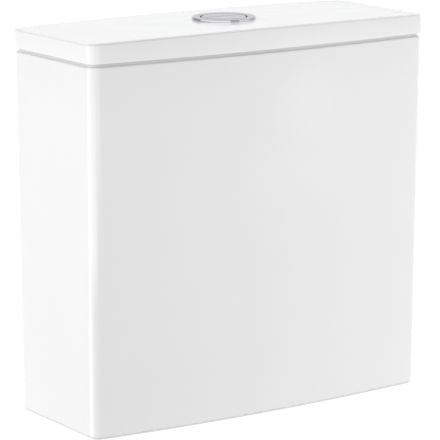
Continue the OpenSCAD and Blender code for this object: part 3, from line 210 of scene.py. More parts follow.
def bowed_outline(half, front, bow_r, rear, front_r, rear_r):
    """Plan of the china: straight sides and rear, and a front on a long bow."""
    centre = front + bow_r
    fx = half - front_r
    fy = centre - math.sqrt((bow_r - front_r) ** 2 - fx * fx)
    phi = math.degrees(math.asin(fx / (bow_r - front_r)))
    rx = half - rear_r
    points = arc(-fx, fy, front_r, 180, 270 - phi, CORNER_STEPS)
    points += arc(0, centre, bow_r, 270 - phi, 270 + phi, FRONT_STEPS)[1:-1]
    points += arc(fx, fy, front_r, 270 + phi, 360, CORNER_STEPS)
    points += arc(rx, rear - rear_r, rear_r, 0, 90, CORNER_STEPS)
    points += [(rx * (1 - 2 * i / FRONT_STEPS), rear) for i in range(1, FRONT_STEPS)]
    points += arc(-rx, rear - rear_r, rear_r, 90, 180, CORNER_STEPS)
    return points


def bow_radius(china):
    """Radius of the lid's bowed front, from its width and bulge."""
    return (LID_HIGH.x ** 2 + china.bow ** 2) / (2 * china.bow)


def tank_outline(china, z, inset, front_r, rear_r):
    """Plan of the tank at a level, drawn in by an inset."""
    draw = 1 - z / china.shoulder
    return bowed_outline(TANK_HIGH.x + china.swell - china.side_taper * draw - inset,
                         TANK_LOW.y + china.front_taper * draw + inset,
                         bow_radius(china) - inset, TANK_HIGH.y - inset, front_r, rear_r)


def lid_outline(china, inset):
    """Plan of the lid, drawn in by an inset."""
    return bowed_outline(LID_HIGH.x + china.swell - inset, LID_LOW.y + inset, bow_radius(china) - inset,
                         LID_HIGH.y - inset, china.front_corner - inset, china.rear_corner - inset)


def level(outline, z):
    """A plan lifted to one level."""
    return [(x, y, z) for x, y in outline]


def quarter(radius, steps=FILLET_STEPS):
    """Steps of a quarter round: how far it has turned away and how far it has risen."""
    angles = [math.pi / 2 * i / steps for i in range(steps + 1)]
    return [(radius * (1 - math.sin(a)), radius * (1 - math.cos(a))) for a in angles]


def between(a, b, t):
    """A plan part of the way from one plan to another."""
    return [(p[0] + (q[0] - p[0]) * t, p[1] + (q[1] - p[1]) * t) for p, q in zip(a, b)]


def circle(cx, cy, r, z, steps):
    """Level round of points."""
    return level(arc(cx, cy, r, 0, 360, steps)[:-1], z)


# Meshes

def add_loop(bm, points):
    """Vertices of one closed loop."""
    return [bm.verts.new(p) for p in points]


def join_loops(bm, a, b):
    """Quads between two loops of the same count."""
    n = len(a)
    for i in range(n):
        bm.faces.new((a[i], a[(i + 1) % n], b[(i + 1) % n], b[i]))


def skin(bm, loops, closed=False):
    """Wall through a stack of loops; returns the loops' vertices."""
    rows = [add_loop(bm, points) for points in loops]
    for a, b in zip(rows, rows[1:]):
        join_loops(bm, a, b)
    if closed:
        join_loops(bm, rows[-1], rows[0])
    return rows


def loop_edges(bm, loop):
    """Edges around a loop of vertices."""
    found = []
    for a, b in zip(loop, loop[1:] + loop[:1]):
        found.append(bm.edges.get((a, b)) or bm.edges.new((a, b)))
    return found


def fill(bm, loops):
    """Flat plate inside the first loop, with the other loops as holes."""
    edges = [e for loop in loops for e in loop_edges(bm, loop)]
    bmesh.ops.triangle_fill(bm, use_beauty=True, edges=edges)


def to_object(name, bm):
    """Turns a mesh under construction into an object of the scene."""
    mesh = bpy.data.meshes.new(name)
    bm.to_mesh(mesh)
    bm.free()
    made = bpy.data.objects.new(name, mesh)
    bpy.context.scene.collection.objects.link(made)
    return made


def thread_rows(r, z0, z1, pitch, depth, per_turn=6):
    """Rows of a profile that carry a thread: radius, level, depth and pitch."""
    count = max(2, round((z1 - z0) / pitch * per_turn))
    rows = []
    for i in range(count + 1):
        z = z0 + (z1 - z0) * i / count
        fade = min(1, (z - z0) / pitch, (z1 - z) / pitch)
        rows.append((r, z, depth * fade, pitch))
    return rows


def turned_ring(cx, cy, row, steps):
    """One row of a turned piece. A threaded row moves in and out along its helix."""
    r, z = row[:2]
    depth, pitch = row[2:] if len(row) > 2 else (0, 1)
    points = []
    for i in range(steps):
        turn = i / steps
        wave = abs(2 * ((z / pitch - turn) % 1) - 1)
        rr = r - depth * min(1, 1.3 * wave)
        points.append((cx + rr * math.cos(math.tau * turn), cy + rr * math.sin(math.tau * turn), z))
    return points


def turned(bm, cx, cy, profile, steps=ROUND_STEPS):
    """Closed solid of revolution about an upright axis. A profile that starts and ends on the axis is capped."""
    on_axis = profile[0][0] < 1e-6
    rows = profile[1:-1] if on_axis else profile
    rings = skin(bm, [turned_ring(cx, cy, row, steps) for row in rows], closed=not on_axis)
    if on_axis:
        for ring, tip in ((rings[0], profile[0]), (rings[-1], profile[-1])):
            top = bm.verts.new((cx, cy, tip[1]))
            for a, b in zip(ring, ring[1:] + ring[:1]):
                bm.faces.new((a, b, top))


def rounded_ring(r_in, r_out, z0, z1, edge, steps=4):
    """Profile of a flat ring with rounded edges."""
    corners = [(r_out - edge, z0 + edge, 270), (r_out - edge, z1 - edge, 0),
               (r_in + edge, z1 - edge, 90), (r_in + edge, z0 + edge, 180)]
    return [p for x, z, a in corners for p in arc(x, z, edge, a, a + 90, steps)]


def wire(bm, path, radius, sides=12):
    """Round wire along a path of points, with flat ends."""
    points = [Vector(p) for p in path]
    rings = []
    normal = Vector((0, 0, 1))
    for i, p in enumerate(points):
        along = (points[min(i + 1, len(points) - 1)] - points[max(i - 1, 0)]).normalized()
        normal = (normal - along * normal.dot(along)).normalized()
        across = along.cross(normal)
        rings.append([p + radius * (math.cos(math.tau * k / sides) * normal
                                    + math.sin(math.tau * k / sides) * across) for k in range(sides)])
    rows = skin(bm, rings)
    bm.faces.new(rows[0])
    bm.faces.new(rows[-1])


# Materials

def add_node(tree, kind, links=(), **values):
    """A node with settings and socket values, fed by other nodes' outputs."""
    node = tree.nodes.new(kind)
    for key, value in values.items():
        if hasattr(node, key):
            setattr(node, key, value)
        else:
            node.inputs[key.replace("_", " ")].default_value = value
    for source, socket in links:
        tree.links.new(source, node.inputs[socket])
    return node


def set_stops(ramp, stops):
    """Gives a colour ramp its stops: places with a colour or a grey each."""
    band = ramp.color_ramp.elements
    while len(band) < len(stops):
        band.new(0.5)
    for element, (at, value) in zip(band, stops):
        element.position = at
        element.color = (*value, 1) if hasattr(value, "__len__") else (value, value, value, 1)


class Nodes:
    """Short hand for a material's node tree."""

    def __init__(self, name):
        self.material = bpy.data.materials.new(name)
        self.material.use_nodes = True
        self.tree = self.material.node_tree
        self.shader = self.tree.nodes["Principled BSDF"]
        self.place = self.tree.nodes.new("ShaderNodeTexCoord").outputs["Object"]

    def set(self, **values):
        """Plain values of the shader's sockets."""
        for key, value in values.items():
            socket = self.shader.inputs[key.replace("_", " ")]
            socket.default_value = (*value, 1) if hasattr(value, "__len__") else value

    def new(self, kind, links=(), **values):
        return add_node(self.tree, kind, links, **values)

    def noise(self, scale, detail, stretch=None):
        source = self.place
        if stretch:
            source = self.new("ShaderNodeMapping", [(source, "Vector")], Scale=stretch).outputs[0]
        return self.new("ShaderNodeTexNoise", [(source, "Vector")], Scale=scale, Detail=detail).outputs["Fac"]

    def ramp(self, source, stops):
        node = self.new("ShaderNodeValToRGB", [(source, "Fac")])
        set_stops(node, stops)
        return node.outputs["Color"]

    def mix(self, factor, a, b):
        node = self.new("ShaderNodeMix", data_type="RGBA")
        for socket, value in ((node.inputs["Factor"], factor), (node.inputs[6], a), (node.inputs[7], b)):
            if isinstance(value, bpy.types.NodeSocket):
                self.tree.links.new(value, socket)
            else:
                socket.default_value = (*value, 1) if hasattr(value, "__len__") else value
        return node.outputs[2]

    def range(self, source, low, high, to_low, to_high):
        return self.new("ShaderNodeMapRange", [(source, "Value")], From_Min=low, From_Max=high, To_Min=to_low,
                        To_Max=to_high).outputs["Result"]

    def bump(self, height, depth, under=None):
        """Relief of a depth in metres, over another relief if there is one."""
        links = [(height, "Height")] + ([(under, "Normal")] if under else [])
        return self.new("ShaderNodeBump", links, Strength=1.0, Distance=depth).outputs["Normal"]

    def link(self, source, socket):
        self.tree.links.new(source, self.shader.inputs[socket])


def shade(base, factor):
    """A colour made lighter or darker."""
    return tuple(min(1, c * factor) for c in base)


def china_glaze(china, name, neck=None):
    """White glaze with a slow ripple and faint tone changes. Bare china at the foot and above a neck, made darker and
    wider as painted shade along the foot and in the shadow gap; or else painted shade along the lid's front edge."""
    n = Nodes(name)
    n.set(IOR=1.52, Coat_Weight=0.35, Coat_Roughness=0.03, Coat_IOR=1.5)
    tone = n.ramp(n.noise(9, 3), [(0.3, shade(china.glaze, 0.992)), (0.7, shade(china.glaze, 1.006))])
    speck = n.ramp(n.noise(2600, 0), [(0.17, (0.55, 0.53, 0.5)), (0.2, (1, 1, 1))])
    flecked = n.new("ShaderNodeMix", data_type="RGBA", blend_type="MULTIPLY")
    flecked.inputs["Factor"].default_value = 0.12
    n.tree.links.new(tone, flecked.inputs[6])
    n.tree.links.new(speck, flecked.inputs[7])
    height = n.new("ShaderNodeSeparateXYZ", [(n.place, "Vector")]).outputs["Z"]
    uneven = n.new("ShaderNodeMath", [(height, 0), (n.range(n.noise(260, 2), 0.3, 0.7, -0.5 * MM, 0.5 * MM), 1)],
                   operation="ADD").outputs[0]
    # Bare china at the foot, its band made wide enough to paint a shade line along the foot's rounded edge.
    bare_and_shade = n.range(uneven, 1.6 * MM, 2.6 * MM, 1, 0)
    glaze = flecked.outputs[2]
    if neck:
        # Bare china above the neck, dark as painted shade inside the shadow gap under the lid.
        neck_shade = n.range(height, neck, neck + 0.5 * MM, 0, 1)
        bare_and_shade = n.new("ShaderNodeMath", [(bare_and_shade, 0), (neck_shade, 1)], operation="ADD").outputs[0]
    else:
        # Painted shade: a mask from the normal, between facing up and facing front, darkens the glaze along the lid's
        # front edge.
        facing = n.new("ShaderNodeSeparateXYZ", [(n.place.node.outputs["Normal"], "Vector")]).outputs
        bend = n.new("ShaderNodeMath", [(n.range(facing["Z"], 0.05, 0.4, 0, 1), 0),
                                        (n.range(facing["Z"], 0.55, 0.9, 1, 0), 1)], operation="MULTIPLY")
        front = n.new("ShaderNodeMath", [(bend.outputs[0], 0), (n.range(facing["Y"], -0.55, -0.3, 1, 0), 1)],
                      operation="MULTIPLY").outputs[0]
        glaze = n.mix(front, glaze, shade(china.glaze, 1 - china.edge_shade))
    n.link(n.mix(bare_and_shade, glaze, china.bisque_and_shade), "Base Color")
    gloss = n.ramp(n.noise(34, 4), [(0.25, china.gloss * 0.8), (0.75, china.gloss * 1.35)])
    n.link(n.mix(bare_and_shade, gloss, (0.72, 0.72, 0.72)), "Roughness")
    ripple = n.bump(n.noise(30, 1), china.ripple)
    orange_peel = n.bump(n.noise(420, 2), china.ripple * 0.06, ripple)
    n.link(orange_peel, "Normal")
    return n.material


def chrome_plate(button):
    """Polished plating with a breath of haze and fine scratches, and near-black bare plastic down inside the bezel,
    which is partly painted shade in the gap round the buttons.
    """
    n = Nodes("chrome_plate")
    n.set(Specular_Tint=(0.855, 0.855, 0.87))
    offset = n.new("ShaderNodeVectorMath", [(n.place, 0)], operation="MULTIPLY_ADD")
    offset.inputs[1].default_value = (1, 1, 0)
    offset.inputs[2].default_value = (0, -VALVE_Y, 0)
    radius = n.new("ShaderNodeVectorMath", [(offset.outputs[0], 0)], operation="LENGTH").outputs["Value"]
    height = n.new("ShaderNodeSeparateXYZ", [(n.place, "Vector")]).outputs["Z"]
    # Painted shade: the bore of the bezel turns near-black below its top.
    deep = n.range(height, BEZEL_HIGH.z - 1.8 * MM, BEZEL_HIGH.z - 1.3 * MM, 1, 0)
    inside = n.range(radius, 24.3 * MM, 24.6 * MM, 1, 0)
    bare_and_shade = n.new("ShaderNodeMath", [(deep, 0), (inside, 1)], operation="MULTIPLY").outputs[0]
    n.link(n.mix(bare_and_shade, button.chrome, button.unplated_and_shade), "Base Color")
    n.link(n.range(bare_and_shade, 0, 1, 1, 0), "Metallic")
    haze = n.ramp(n.noise(160, 4), [(0.3, button.polish * 0.7), (0.8, button.polish * 2.0)])
    n.link(n.mix(bare_and_shade, haze, (0.45, 0.45, 0.45)), "Roughness")
    moulded = n.bump(n.noise(90, 1), 0.006 * MM)
    scratches = n.bump(n.noise(700, 2, stretch=(1, 14, 1)), 0.0006 * MM, moulded)
    n.link(scratches, "Normal")
    return n.material


def moulded_plastic(name, base, rough=0.34, grain=0.012 * MM):
    """Moulded plastic: faint flow marks in the colour, a fine spark-eroded grain and uneven gloss."""
    n = Nodes(name)
    n.set(IOR=1.49)
    flow = n.noise(45, 4, stretch=(1, 1, 0.25))
    n.link(n.ramp(flow, [(0.25, shade(base, 0.93)), (0.55, base), (0.8, shade(base, 1.05))]), "Base Color")
    n.link(n.ramp(n.noise(120, 3), [(0.3, rough * 0.85), (0.7, rough * 1.25)]), "Roughness")
    sink = n.bump(n.noise(60, 1), grain * 2)
    n.link(n.bump(n.noise(2400, 2), grain, sink), "Normal")
    return n.material


def soft_rubber(name, base, rough=0.7):
    """Rubber with a pale bloom, talc in its pores and a matt moulded skin."""
    n = Nodes(name)
    n.set(IOR=1.45, Specular_IOR_Level=0.35)
    bloom = n.noise(70, 5)
    pale = tuple(c * 0.8 + 0.035 for c in base)
    n.link(n.ramp(bloom, [(0.4, base), (0.75, pale)]), "Base Color")
    n.link(n.ramp(n.noise(200, 3), [(0.3, rough * 0.88), (0.7, min(1, rough * 1.15))]), "Roughness")
    n.link(n.bump(n.noise(1500, 3), 0.03 * MM), "Normal")
    return n.material


def drawn_steel(name, base):
    """Drawn stainless steel with fine lines and dull patches."""
    n = Nodes(name)
    n.set(Metallic=1.0, Anisotropic=0.4)
    lines = n.noise(2200, 3, stretch=(1, 1, 0.06))
    n.link(n.ramp(lines, [(0.3, shade(base, 0.86)), (0.7, shade(base, 1.1))]), "Base Color")
    n.link(n.ramp(n.noise(150, 3), [(0.3, 0.24), (0.7, 0.42)]), "Roughness")
    n.link(n.bump(lines, 0.004 * MM), "Normal")
    return n.material


def finish(slot):
    """The material of one of the record's slots, made once."""
    scene = bpy.context.scene
    works = scene.cistern_works
    makers = {
        "china": lambda: china_glaze(scene.cistern_china, "china_glaze"),
        "chrome": lambda: chrome_plate(scene.cistern_button),
        "white_plastic": lambda: moulded_plastic(slot, works.white, 0.3),
        "pale_plastic": lambda: moulded_plastic(slot, works.pale, 0.36),
        "grey_plastic": lambda: moulded_plastic(slot, works.grey, 0.42),
        "blue_plastic": lambda: moulded_plastic(slot, works.blue, 0.3),
        "dark_blue_plastic": lambda: moulded_plastic(slot, works.dark_blue, 0.3),
        "black_rubber": lambda: soft_rubber(slot, works.rubber),
        "red_silicone": lambda: soft_rubber(slot, works.silicone, 0.45),
        "steel": lambda: drawn_steel("drawn_steel", works.steel),
    }
    names = {"china": "china_glaze", "chrome": "chrome_plate", "steel": "drawn_steel"}
    return bpy.data.materials.get(names.get(slot, slot)) or makers[slot]()


SLOT_OF = {part["node"]: part["material_slot"] for part in frame["record"]["subparts"]}
BODY_OF = {node: body for body, nodes in frame["record"]["behaviour"]["bodies"].items() for node in nodes}


def dress(*nodes):
    """Gives CAD nodes that stay the finish of their slots."""
    for node in nodes:
        frame["nodes"][node].active_material = finish(SLOT_OF[node])


def stand_in(node, bm, sharp=40):
    """A fuller, smooth piece in place of one CAD node, which rides on the node's body."""
    bmesh.ops.recalc_face_normals(bm, faces=bm.faces)
    made = to_object(node + "_look", bm)
    mesh = made.data
    mesh.polygons.foreach_set("use_smooth", [True] * len(mesh.polygons))
    mesh.set_sharp_from_angle(angle=math.radians(sharp))
    mesh.materials.append(finish(SLOT_OF[node]))
    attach(made, BODY_OF[node])
    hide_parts(node)
    return made


def washer(node, cx, cy, bore, edge, set_back=0):
    """A flat ring with rounded edges in place of a CAD node."""
    low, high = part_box(node)
    bm = bmesh.new()
    turned(bm, cx, cy, rounded_ring(bore, (high.x - low.x) / 2 - set_back, low.z, high.z, edge))
    stand_in(node, bm)


# China

# Small coves in three steps: how far each stands out and how far it has fallen.
HOLLOW_COVE = ((2 * MM, 0), (0.6 * MM, 0.6 * MM), (0, 2 * MM))
RIB_COVE = ((1.5 * MM, 0), (0.4 * MM, 0.4 * MM), (0, 1.5 * MM))


def tank_mesh(china):
    """Tank with walls, recessed floor, foot, shoulder, rim and the holes in its floor."""
    bm = bmesh.new()
    soft = quarter(china.soft_edge, 3)
    rim = TANK_HIGH.z

    def outside(z, inset):
        cut = min(inset, china.rear_corner - 0.5 * MM)
        return level(tank_outline(china, z, inset, china.front_corner - cut, china.rear_corner - cut), z)

    def inner(z, inset):
        return tank_outline(china, z, inset, china.inner_corner, china.inner_corner)

    def skirt(z, inset):
        """Wall of the hollow under the floor."""
        return level(inner(0, inset), z)

    def neck(z, inset):
        """Wall behind the shadow gap."""
        return level(tank_outline(china, china.shoulder, inset, china.front_corner - china.gap_inset,
                                  china.rear_corner - china.gap_inset), z)

    def inside(z):
        """Inner wall, which runs straight from the cove to the rim."""
        low = china.floor_top + china.cove
        return level(between(inner(low, china.wall), inner(china.shoulder, china.wall), (z - low) / (rim - low)), z)

    loops = [skirt(china.floor_under - fall, china.wall + out) for out, fall in HOLLOW_COVE]
    loops += [skirt(rise, china.wall - turn) for rise, turn in reversed(soft)]
    loops += [outside(rise, inset) for inset, rise in quarter(china.foot_edge)]
    z0, z1 = china.foot_edge, china.shoulder - china.shoulder_edge
    loops += [outside(z0 + (z1 - z0) * i / WALL_STEPS, 0) for i in range(1, WALL_STEPS)]
    loops += [outside(china.shoulder - fall, inset) for fall, inset in quarter(china.shoulder_edge)]
    loops += [neck(china.shoulder + rise, china.gap_inset - out) for out, rise in quarter(china.neck_cove, 4)]
    loops += [neck(rim - fall, china.gap_inset + turn) for fall, turn in soft]
    loops += [level(inner(china.shoulder, china.wall - turn), rim - fall) for fall, turn in reversed(soft)]
    loops += [inside(rim - depth) for depth in (60 * MM, 140 * MM, 220 * MM)]
    loops += [level(inner(china.floor_top + rise, china.wall + inset), china.floor_top + rise)
              for inset, rise in reversed(quarter(china.cove, 8))]
    rows = skin(bm, loops)
    under, top = [rows[0]], [rows[-1]]
    bolt = china.bolt_spacing / 2
    for x, y, r, steps in ((0, VALVE_Y, china.outlet_hole, 64), (-bolt, VALVE_Y, china.bolt_hole, 40),
                           (bolt, VALVE_Y, china.bolt_hole, 40), (INLET_X, INLET_Y, china.inlet_hole, 64)):
        ring = [circle(x, y, r + turn, china.floor_top - fall, steps) for fall, turn in soft]
        ring += [circle(x, y, r + turn, china.floor_under + rise, steps) for rise, turn in reversed(soft)]
        walls = skin(bm, ring)
        top.append(walls[0])
        under.append(walls[-1])
    fill(bm, under)
    fill(bm, top)
    return bm


def lid_mesh(china):
    """Lid with a crowned top, rounded edges, a hollow under it and its locating rib."""
    bm = bmesh.new()
    base = TANK_HIGH.z
    ceiling = base + china.lid_height - china.lid_plate
    hole = china.button_hole
    soft = quarter(china.soft_edge, 3)
    rim = lid_outline(china, china.lid_edge)
    inner = china.rib_inset + china.rib

    def rise(x):
        return china.crown * (1 - (x / LID_HIGH.x) ** 2)

    def crowned(outline, z):
        return [(x, y, z + rise(x)) for x, y in outline]

    def round_at(r):
        return [(r * math.cos(a), VALVE_Y + r * math.sin(a))
                for a in (math.atan2(y - VALVE_Y, x) for x, y in rim)]

    def rib(inset, z):
        return level(tank_outline(china, china.shoulder, inset, china.inner_corner, china.inner_corner), z)

    top = base + china.lid_height
    loops = [crowned(round_at(hole + turn), top - fall) for fall, turn in soft]
    bore = round_at(hole + china.soft_edge)
    loops += [crowned(between(bore, rim, t), top) for t in (0.1, 0.25, 0.45, 0.65, 0.85)]
    loops += [crowned(lid_outline(china, turn), top - fall) for turn, fall in quarter(china.lid_edge, 8)]
    loops += [level(lid_outline(china, inset), base + up) for inset, up in reversed(quarter(china.lid_lip, 5))]
    foot = LID_LOW.z
    loops += [rib(china.rib_inset - out, base - fall) for out, fall in RIB_COVE]
    loops += [rib(china.rib_inset + turn, foot + up) for turn, up in reversed(soft)]
    loops += [rib(inner - turn, foot + up) for turn, up in soft]
    loops += [rib(inner + out, ceiling - fall) for out, fall in reversed(HOLLOW_COVE)]
    hollow = [point[:2] for point in loops[-1]]
    loops += [level(between(hollow, bore, t), ceiling) for t in (0.3, 0.6, 0.85)]
    loops += [level(round_at(hole + turn), ceiling + up) for up, turn in reversed(soft)]
    skin(bm, loops, closed=True)
    return bm


class CISTERN_OT_tank(bpy.types.Operator):
    """Glazed tank with its recessed floor and holes"""

    bl_idname = "cistern.tank"
    bl_label = "Tank"

    def execute(self, context):
        china = context.scene.cistern_china
        tank = stand_in("tank", tank_mesh(china), 50)
        # The bare, dark neck is painted shade in the shadow gap.
        tank.active_material = china_glaze(china, "tank_glaze", china.shoulder + 0.1 * MM)
        return {"FINISHED"}


class CISTERN_OT_lid(bpy.types.Operator):
    """Glazed lift-off lid"""

    bl_idname = "cistern.lid"
    bl_label = "Lid"

    def execute(self, context):
        stand_in("lid", lid_mesh(context.scene.cistern_china), 50)
        return {"FINISHED"}


# Button

PLUNGER_X, PLUNGER_Y = 5 * MM, 11 * MM
SPRING_R, SPRING_WIRE_R = 6.2 * MM, 0.5 * MM


def bezel_mesh(button):
    """Chrome bezel: a thick ring with an upright side and a dished top, and a threaded sleeve under it."""
    low, foot = BEZEL_LOW.z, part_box("bezel_washer")[0].z - 0.05 * MM
    high = BEZEL_HIGH.z - 0.4 * MM
    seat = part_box("bezel_washer")[1].z
    sleeve, bore, rim, inner = 24 * MM, 22.25 * MM, BEZEL_HIGH.x, 22.4 * MM
    recess = rim - 1.6 * MM
    profile = [(inner, low + 0.3 * MM), (inner + 0.3 * MM, low), (sleeve - 0.9 * MM, low),
               (sleeve - 0.7 * MM, low + 0.3 * MM)]
    profile += thread_rows(sleeve, low + 1.2 * MM, seat - 1.5 * MM, button.thread, 0.7 * MM)
    profile += [(sleeve, seat - 0.4 * MM), (sleeve, seat), (recess, seat), (recess, foot)]
    profile += arc(rim - 0.1 * MM, foot + 0.1 * MM, 0.1 * MM, 270, 360, 3)
    lean, edge, dish = 0.5 * MM, 0.6 * MM, 0.3 * MM
    crest = rim - lean - edge
    profile += arc(crest, high - edge, edge, 12, 86, 8)
    profile += [(crest - (crest - bore - 0.15 * MM) * t, high - dish * t * t) for t in (i / 10 for i in range(1, 10))]
    profile += arc(bore + 0.15 * MM, high - dish - 0.15 * MM, 0.15 * MM, 90, 180, 4)
    profile += [(bore, seat - 0.8 * MM), (inner, seat - 1.1 * MM)]
    bm = bmesh.new()
    turned(bm, 0, VALVE_Y, profile, 128)
    return bm


def button_outline(button, side, inset):
    """Plan of one button: a round cut off by the split, with rounded corners."""
    r = button.disc - inset
    q = max(button.split_corner - inset, 0.3 * MM)
    c = side * button.split + button.split_gap / 2 + inset
    cx = math.sqrt((r - q) ** 2 - (c + q) ** 2)
    corner = math.degrees(math.atan2(c + q, cx))
    points = arc(cx, c + q, q, 270, 360 + corner, 8)
    points += arc(0, 0, r, corner, 180 - corner, 48)[1:-1]
    points += arc(-cx, c + q, q, 180 - corner, 270, 8)
    points += [(-cx + 2 * cx * i / 12, c) for i in range(1, 12)]
    return [(x, VALVE_Y + side * y) for x, y in points]


def button_mesh(button, side):
    """One chrome button: a thick plate with soft edges and a skirt behind its round edge."""
    solid_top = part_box("full_button")[1].z
    top, under = solid_top - 0.25 * MM, solid_top - 2.5 * MM
    skirt = under - 8 * MM
    bm = bmesh.new()
    edge = quarter(button.edge, 5)
    chamfer = 0.3 * MM
    loops = [level(button_outline(button, side, chamfer), under),
             level(button_outline(button, side, 0), under + chamfer)]
    loops += [level(button_outline(button, side, turn), top - fall) for fall, turn in edge]
    loops += [level(button_outline(button, side, button.edge + 0.6 * MM), top)]
    rows = skin(bm, loops)
    bm.faces.new(rows[0])
    bm.faces.new(rows[-1])
    c = side * button.split + button.split_gap / 2 + 1.2 * MM
    start = math.degrees(math.asin(c / button.disc)) + 4
    outer = arc(0, 0, button.disc - 0.02 * MM, start, 180 - start, 40)
    inner = arc(0, 0, button.disc - 1.6 * MM, start, 180 - start, 40)
    band = [(x, VALVE_Y + side * y) for x, y in outer + inner[::-1]]
    walls = skin(bm, [level(band, skirt), level(band, under + 0.4 * MM)])
    for wall in walls:
        n = len(wall)
        for i in range(n // 2 - 1):
            bm.faces.new((wall[i], wall[i + 1], wall[n - 2 - i], wall[n - 1 - i]))
    return bm


def spring_mesh(works, x, y, low, high, r, wire_r):
    """Return spring with close end curls and open curls between."""
    close = 2 * wire_r + 0.5 * MM
    span = high - low - 2 * wire_r
    open_pitch = (span - 2 * close) / (works.turns - 2)
    per_turn = 28
    path = []
    for i in range(works.turns * per_turn + 1):
        t = i / per_turn
        if t < 1:
            z = t * close
        elif t > works.turns - 1:
            z = span - (works.turns - t) * close
        else:
            z = close + (t - 1) * open_pitch
        path.append((x + r * math.cos(math.tau * t), y + r * math.sin(math.tau * t), low + wire_r + z))
    bm = bmesh.new()
    wire(bm, path, wire_r)
    return bm


class CISTERN_OT_button(bpy.types.Operator):
    """Chrome bezel, the two flush buttons and the washer under the bezel"""

    bl_idname = "cistern.button"
    bl_label = "Flush button"

    def execute(self, context):
        button = context.scene.cistern_button
        stand_in("button_bezel", bezel_mesh(button), 50)
        stand_in("full_button", button_mesh(button, -1), 50)
        stand_in("half_button", button_mesh(button, 1), 50)
        washer("bezel_washer", 0, VALVE_Y, bore=24.05 * MM, edge=0.2 * MM, set_back=1.8 * MM)
        return {"FINISHED"}


class CISTERN_OT_button_works(bpy.types.Operator):
    """Nut, guide, plungers and return springs under the lid"""

    bl_idname = "cistern.button_works"
    bl_label = "Button works"

    def execute(self, context):
        works = context.scene.cistern_works
        dress("button_nut", "button_guide", "full_plunger", "half_plunger")
        for side, node, joint in ((-1, "full_button_spring", "full_press"), (1, "half_button_spring", "half_press")):
            low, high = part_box(node)
            x, y = side * PLUNGER_X, VALVE_Y + side * PLUNGER_Y
            spring = stand_in(node, spring_mesh(works, x, y, low.z, high.z, SPRING_R, SPRING_WIRE_R), 60)
            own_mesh(spring)
        return {"FINISHED"}


# Flush valve

class CISTERN_OT_flush_valve(bpy.types.Operator):
    """Fixed pieces of the flush valve, its washers, back nut and pan gasket"""

    bl_idname = "cistern.flush_valve"
    bl_label = "Flush valve"

    def execute(self, context):
        dress("flush_valve_base", "flush_valve_backnut", "valve_tower", "left_rail", "right_rail", "valve_head",
              "full_lever_pin", "half_lever_pin")
        washer("flush_valve_washer", 0, VALVE_Y, bore=30.1 * MM, edge=0.9 * MM)
        stand_in("pan_gasket", self.gasket())
        return {"FINISHED"}

    def gasket(self):
        """Thick rubber ring with a tapered, ribbed outside that seals on the pan."""
        low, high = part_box("pan_gasket")
        out, tail, nut = high.x, 30.1 * MM, 41.8 * MM
        step = 21.7 * MM
        profile = [(tail + 1.5 * MM, low.z), (out - 7 * MM, low.z)]
        profile += arc(out - 7 * MM, low.z + 3 * MM, 3 * MM, 270, 350, 6)[1:]
        ribs = 5
        for i in range(1, ribs * 6):
            t = i / (ribs * 6)
            r = out - 4 * MM + 4 * MM * t
            profile.append((r - 0.5 * MM * (1 - math.cos(math.tau * ribs * t)),
                            low.z + 3 * MM + (high.z - low.z - 6 * MM) * t))
        profile += arc(out - 1.2 * MM, high.z - 1.2 * MM, 1.2 * MM, 0, 90, 4)
        profile += [(nut + 0.5 * MM, high.z), (nut, high.z - 0.5 * MM), (nut, step + 0.5 * MM), (nut - 0.5 * MM, step),
                    (tail + 0.5 * MM, step), (tail, step - 0.5 * MM), (tail, low.z + 1.5 * MM)]
        bm = bmesh.new()
        turned(bm, 0, VALVE_Y, profile)
        return bm


class CISTERN_OT_flush_linkage(bpy.types.Operator):
    """Push rods, levers, lifting pieces, floats and the flush seal"""

    bl_idname = "cistern.flush_linkage"
    bl_label = "Flush linkage"

    def execute(self, context):
        works = context.scene.cistern_works
        dress("full_rod_cap", "half_rod_cap", "full_lever", "half_lever", "overflow_tube", "seal_carrier",
              "seal_retainer", "lift_collar", "full_float", "half_sleeve", "half_float")
        for node in ("full_push_rod", "half_push_rod"):
            low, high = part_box(node)
            r = (high.x - low.x) / 2
            foot, chamfer = 6 * MM, 0.6 * MM
            profile = [(0, low.z), (r - chamfer, low.z), (r, low.z + chamfer), (r, low.z + foot)]
            profile += thread_rows(r, low.z + foot, high.z - chamfer, works.rod_thread, 0.4 * MM)
            profile += [(r - chamfer, high.z), (0, high.z)]
            bm = bmesh.new()
            turned(bm, (low.x + high.x) / 2, (low.y + high.y) / 2, profile, 40)
            stand_in(node, bm, 60)
        washer("flush_seal", 0, VALVE_Y, bore=18.05 * MM, edge=0.8 * MM)
        return {"FINISHED"}


# Inlet valve

class CISTERN_OT_inlet_valve(bpy.types.Operator):
    """Inlet stem with its nut, filter, sleeve, valve body and cap"""

    bl_idname = "cistern.inlet_valve"
    bl_label = "Inlet valve"

    def execute(self, context):
        dress("inlet_backnut", "inlet_filter", "height_lock_nut", "height_sleeve", "inlet_valve_body",
              "inlet_valve_cap", "float_lever_pin", "discharge_tube", "inlet_stem")
        washer("inlet_washer", INLET_X, INLET_Y, bore=10.58 * MM, edge=0.9 * MM)
        low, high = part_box("inlet_diaphragm")
        r = (high.x - low.x) / 2
        mid = (low.z + high.z) / 2
        profile = [(0, low.z), (r * 0.5, low.z), (r * 0.62, mid - 0.2 * MM), (r * 0.74, low.z), (r - 0.4 * MM, low.z),
                   (r, low.z + 0.4 * MM), (r, high.z - 0.4 * MM), (r - 0.4 * MM, high.z), (r * 0.74, high.z),
                   (r * 0.62, mid + 0.2 * MM), (r * 0.5, high.z), (0, high.z)]
        bm = bmesh.new()
        turned(bm, INLET_X, INLET_Y, profile)
        stand_in("inlet_diaphragm", bm)
        return {"FINISHED"}


class CISTERN_OT_fill_float(bpy.types.Operator):
    """Float, its rod and clip, the float lever and the pilot pin"""

    bl_idname = "cistern.fill_float"
    bl_label = "Fill float"

    def execute(self, context):
        dress("float_cup", "float_rod", "float_rod_clip", "float_lever", "pilot_pin")
        return {"FINISHED"}


# Stage

